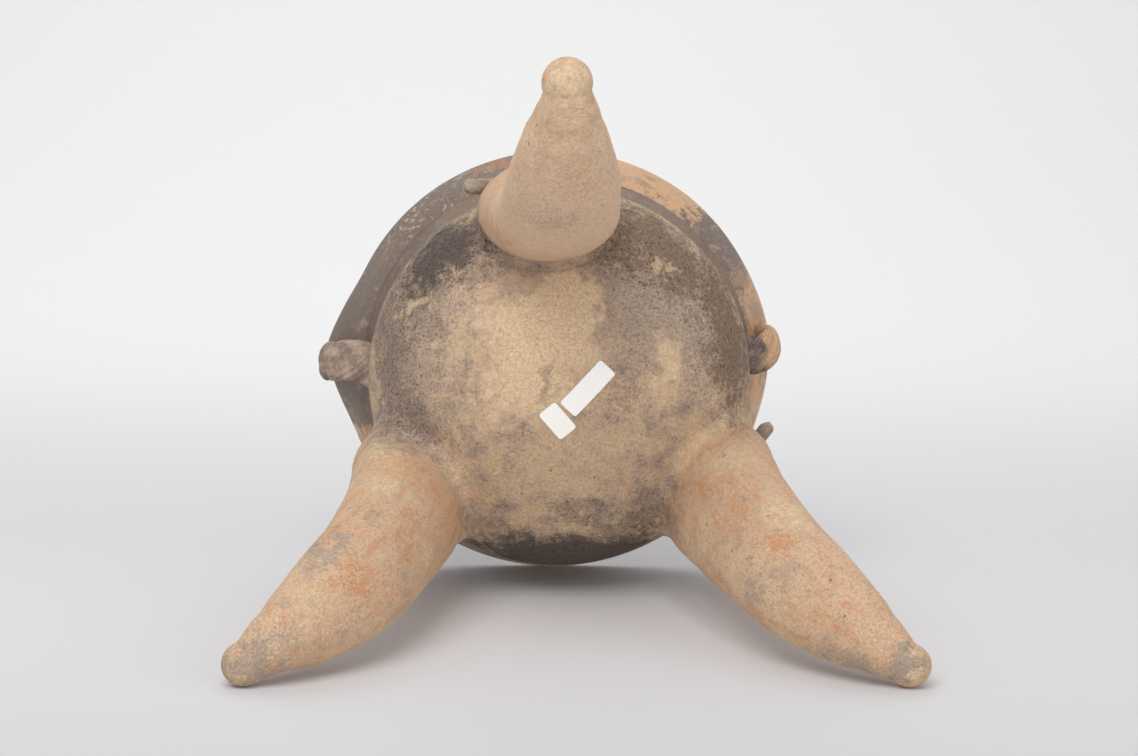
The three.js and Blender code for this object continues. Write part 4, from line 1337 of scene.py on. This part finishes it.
def shader_mix(tree, share, first, second):
    """A first shader that gives way to a second as the share goes from 0 to 1."""
    node = tree.nodes.new("ShaderNodeMixShader")
    for socket, source in zip(node.inputs, (share, first, second)):
        tree.links.new(source, socket)
    return node.outputs[0]


def for_camera(tree, others, camera):
    """Shows the camera one shader and every other ray another."""
    path = tree.nodes.new("ShaderNodeLightPath")
    return shader_mix(tree, path.outputs["Is Camera Ray"], others, camera)


class VESSEL_OT_stage(bpy.types.Operator):
    """Lay the vessel's floor and backdrop, and set up lamps and camera"""

    bl_idname = "vessel.stage"
    bl_label = "Stage"

    def execute(self, context):
        origin, up = resting_floor()
        ahead = Vector(CAMERA_AHEAD)
        ahead = (ahead - up * ahead.dot(up)).normalized()
        basis = Matrix((ahead.cross(up), ahead, up)).transposed()
        origin = up * origin.dot(up)

        def at(across, away, above):
            return origin + basis @ Vector((across, away, above))

        self.backdrop(at, ahead, up)
        self.lamps(at)
        self.camera(context.scene)
        context.scene.view_settings.view_transform = "Standard"
        return {"FINISHED"}

    def backdrop(self, at, ahead, up):
        """One sheet: a floor that curves up into the backdrop."""
        piece = new_piece("backdrop")
        half, start, bend_at, bend, top = 2.5, -2.0, 0.75, 0.6, 3.0
        rows = [(start, 0.0), (-0.5, 0.0), (0.0, 0.0), (0.4, 0.0)]
        rows += [(bend_at + bend * math.sin(angle), bend * (1 - math.cos(angle)))
                 for angle in spread(0, math.pi / 2, 24)]
        rows.append((bend_at + bend, top))
        draw_line([at(-half, away, above) for away, above in rows])
        bpy.ops.mesh.extrude_region_move(
            TRANSFORM_OT_translate={"value": at(half, 0, 0) - at(-half, 0, 0)})
        bpy.ops.mesh.select_all(action="SELECT")
        bpy.ops.mesh.normals_make_consistent(inside=False)
        bpy.ops.object.mode_set(mode="OBJECT")
        if sum(face.normal.dot(up) for face in piece.data.polygons) < 0:
            bpy.ops.object.mode_set(mode="EDIT")
            bpy.ops.mesh.flip_normals()
            bpy.ops.object.mode_set(mode="OBJECT")
        bpy.ops.object.shade_smooth()
        piece.data.materials.append(self.backdrop_paper(ahead))

    def backdrop_paper(self, ahead):
        """Matt pale paper, seen from its front only, painted darker towards the camera and paler up the
        backdrop as shade and light; what touches it is kept from black by a glow.
        """
        paper = Finish("backdrop_paper", roughness=0.95, specular=0.1)
        away = paper.vectors("DOT_PRODUCT", paper.place, ahead)
        # Painted shade and light: the floor darker near the camera, the backdrop paler as it rises
        colour = paper.blend(tone("#b6b4b6"), tone("#d2d1d3"), paper.ramp(away, -0.35, 0.15))
        colour = paper.blend(colour, tone("#f0f0f0"), paper.ramp(away, 0.2, 1.0))
        tree, nodes = paper.tree, paper.tree.nodes
        behind = nodes.new("ShaderNodeNewGeometry").outputs["Backfacing"]
        clear = nodes.new("ShaderNodeBsdfTransparent").outputs[0]
        sheet = shader_mix(tree, behind, paper.shader.outputs[0], clear)
        glow = paper.add("ShaderNodeEmission", {"Strength": 0.13})
        lit = nodes.new("ShaderNodeAddShader")
        tree.links.new(sheet, lit.inputs[0])
        tree.links.new(glow.outputs[0], lit.inputs[1])
        output = next(node for node in nodes if node.type == "OUTPUT_MATERIAL")
        tree.links.new(for_camera(tree, lit.outputs[0], sheet), output.inputs["Surface"])
        return paper.finished(colour)

    def lamps(self, at):
        """A large soft lamp overhead towards the camera, weaker ones in front, beside and behind."""
        world = bpy.data.worlds.new("studio")
        bpy.context.scene.world = world
        world.use_nodes = True
        tree, nodes = world.node_tree, world.node_tree.nodes
        light, seen = nodes["Background"], nodes.new("ShaderNodeBackground")
        light.inputs["Color"].default_value = (1.0, 1.0, 1.0, 1.0)
        light.inputs["Strength"].default_value = 0.54
        seen.inputs["Color"].default_value = (*tone("#efefef"), 1.0)
        tree.links.new(for_camera(tree, light.outputs[0], seen.outputs[0]),
                       nodes["World Output"].inputs["Surface"])
        middle = at(0, 0, 0.1)
        for name, place, size, power in (
            ("overhead", at(-0.25, -0.75, 1.1), 0.9, 11.4),
            ("front", at(0.15, -1.3, 0.45), 1.0, 2.6),
            ("beside", at(1.1, -0.6, 0.6), 0.8, 1.9),
            ("behind", at(-0.2, 0.8, 1.1), 0.9, 3.0),
        ):
            bpy.ops.object.light_add(type="AREA", location=place)
            lamp = bpy.context.object
            lamp.name = lamp.data.name = f"lamp_{name}"
            lamp.data.size = size
            lamp.data.energy = power
            lamp.rotation_euler = (middle - place).to_track_quat("-Z", "Y").to_euler()

    def camera(self, scene):
        bpy.ops.object.camera_add()
        camera = bpy.context.object
        turn = Matrix((CAMERA_RIGHT, CAMERA_UP, -Vector(CAMERA_AHEAD))).transposed()
        camera.matrix_world = Matrix.Translation(CAMERA_PLACE) @ turn.to_4x4()
        camera.data.lens = LENS_MM
        camera.data.sensor_width = SENSOR_MM
        scene.camera = camera


class VESSEL_PT_pieces(bpy.types.Panel):
    """Lists the vessel's pieces, sizes and colours"""

    bl_idname = "VESSEL_PT_pieces"
    bl_label = "Tripod rattle vessel"
    bl_space_type = "VIEW_3D"
    bl_region_type = "UI"
    bl_category = "Vessel"

    def draw(self, context):
        for operator in OPERATORS:
            self.layout.operator(operator.bl_idname)
        for group in (context.scene.vessel_sizes, context.scene.vessel_colours):
            box = self.layout.box()
            for key in group.__annotations__:
                box.prop(group, key)


OPERATORS = (
    VESSEL_OT_bowl,
    VESSEL_OT_neck,
    VESSEL_OT_rim,
    VESSEL_OT_legs,
    VESSEL_OT_nubs,
    VESSEL_OT_luting,
    VESSEL_OT_rolls,
    VESSEL_OT_straps,
    VESSEL_OT_pellets,
    VESSEL_OT_labels,
    VESSEL_OT_stage,
)
CLASSES = (VesselSizes, VesselColours, *OPERATORS, VESSEL_PT_pieces)


def register():
    for cls in CLASSES:
        bpy.utils.register_class(cls)
    bpy.types.Scene.vessel_sizes = PointerProperty(type=VesselSizes)
    bpy.types.Scene.vessel_colours = PointerProperty(type=VesselColours)


def unregister():
    del bpy.types.Scene.vessel_colours
    del bpy.types.Scene.vessel_sizes
    for cls in reversed(CLASSES):
        bpy.utils.unregister_class(cls)


def main():
    """Builds the vessel piece by piece."""
    register()
    for operator in OPERATORS:
        group, name = operator.bl_idname.split(".")
        getattr(getattr(bpy.ops, group), name)()


if __name__ == "__main__":
    main()
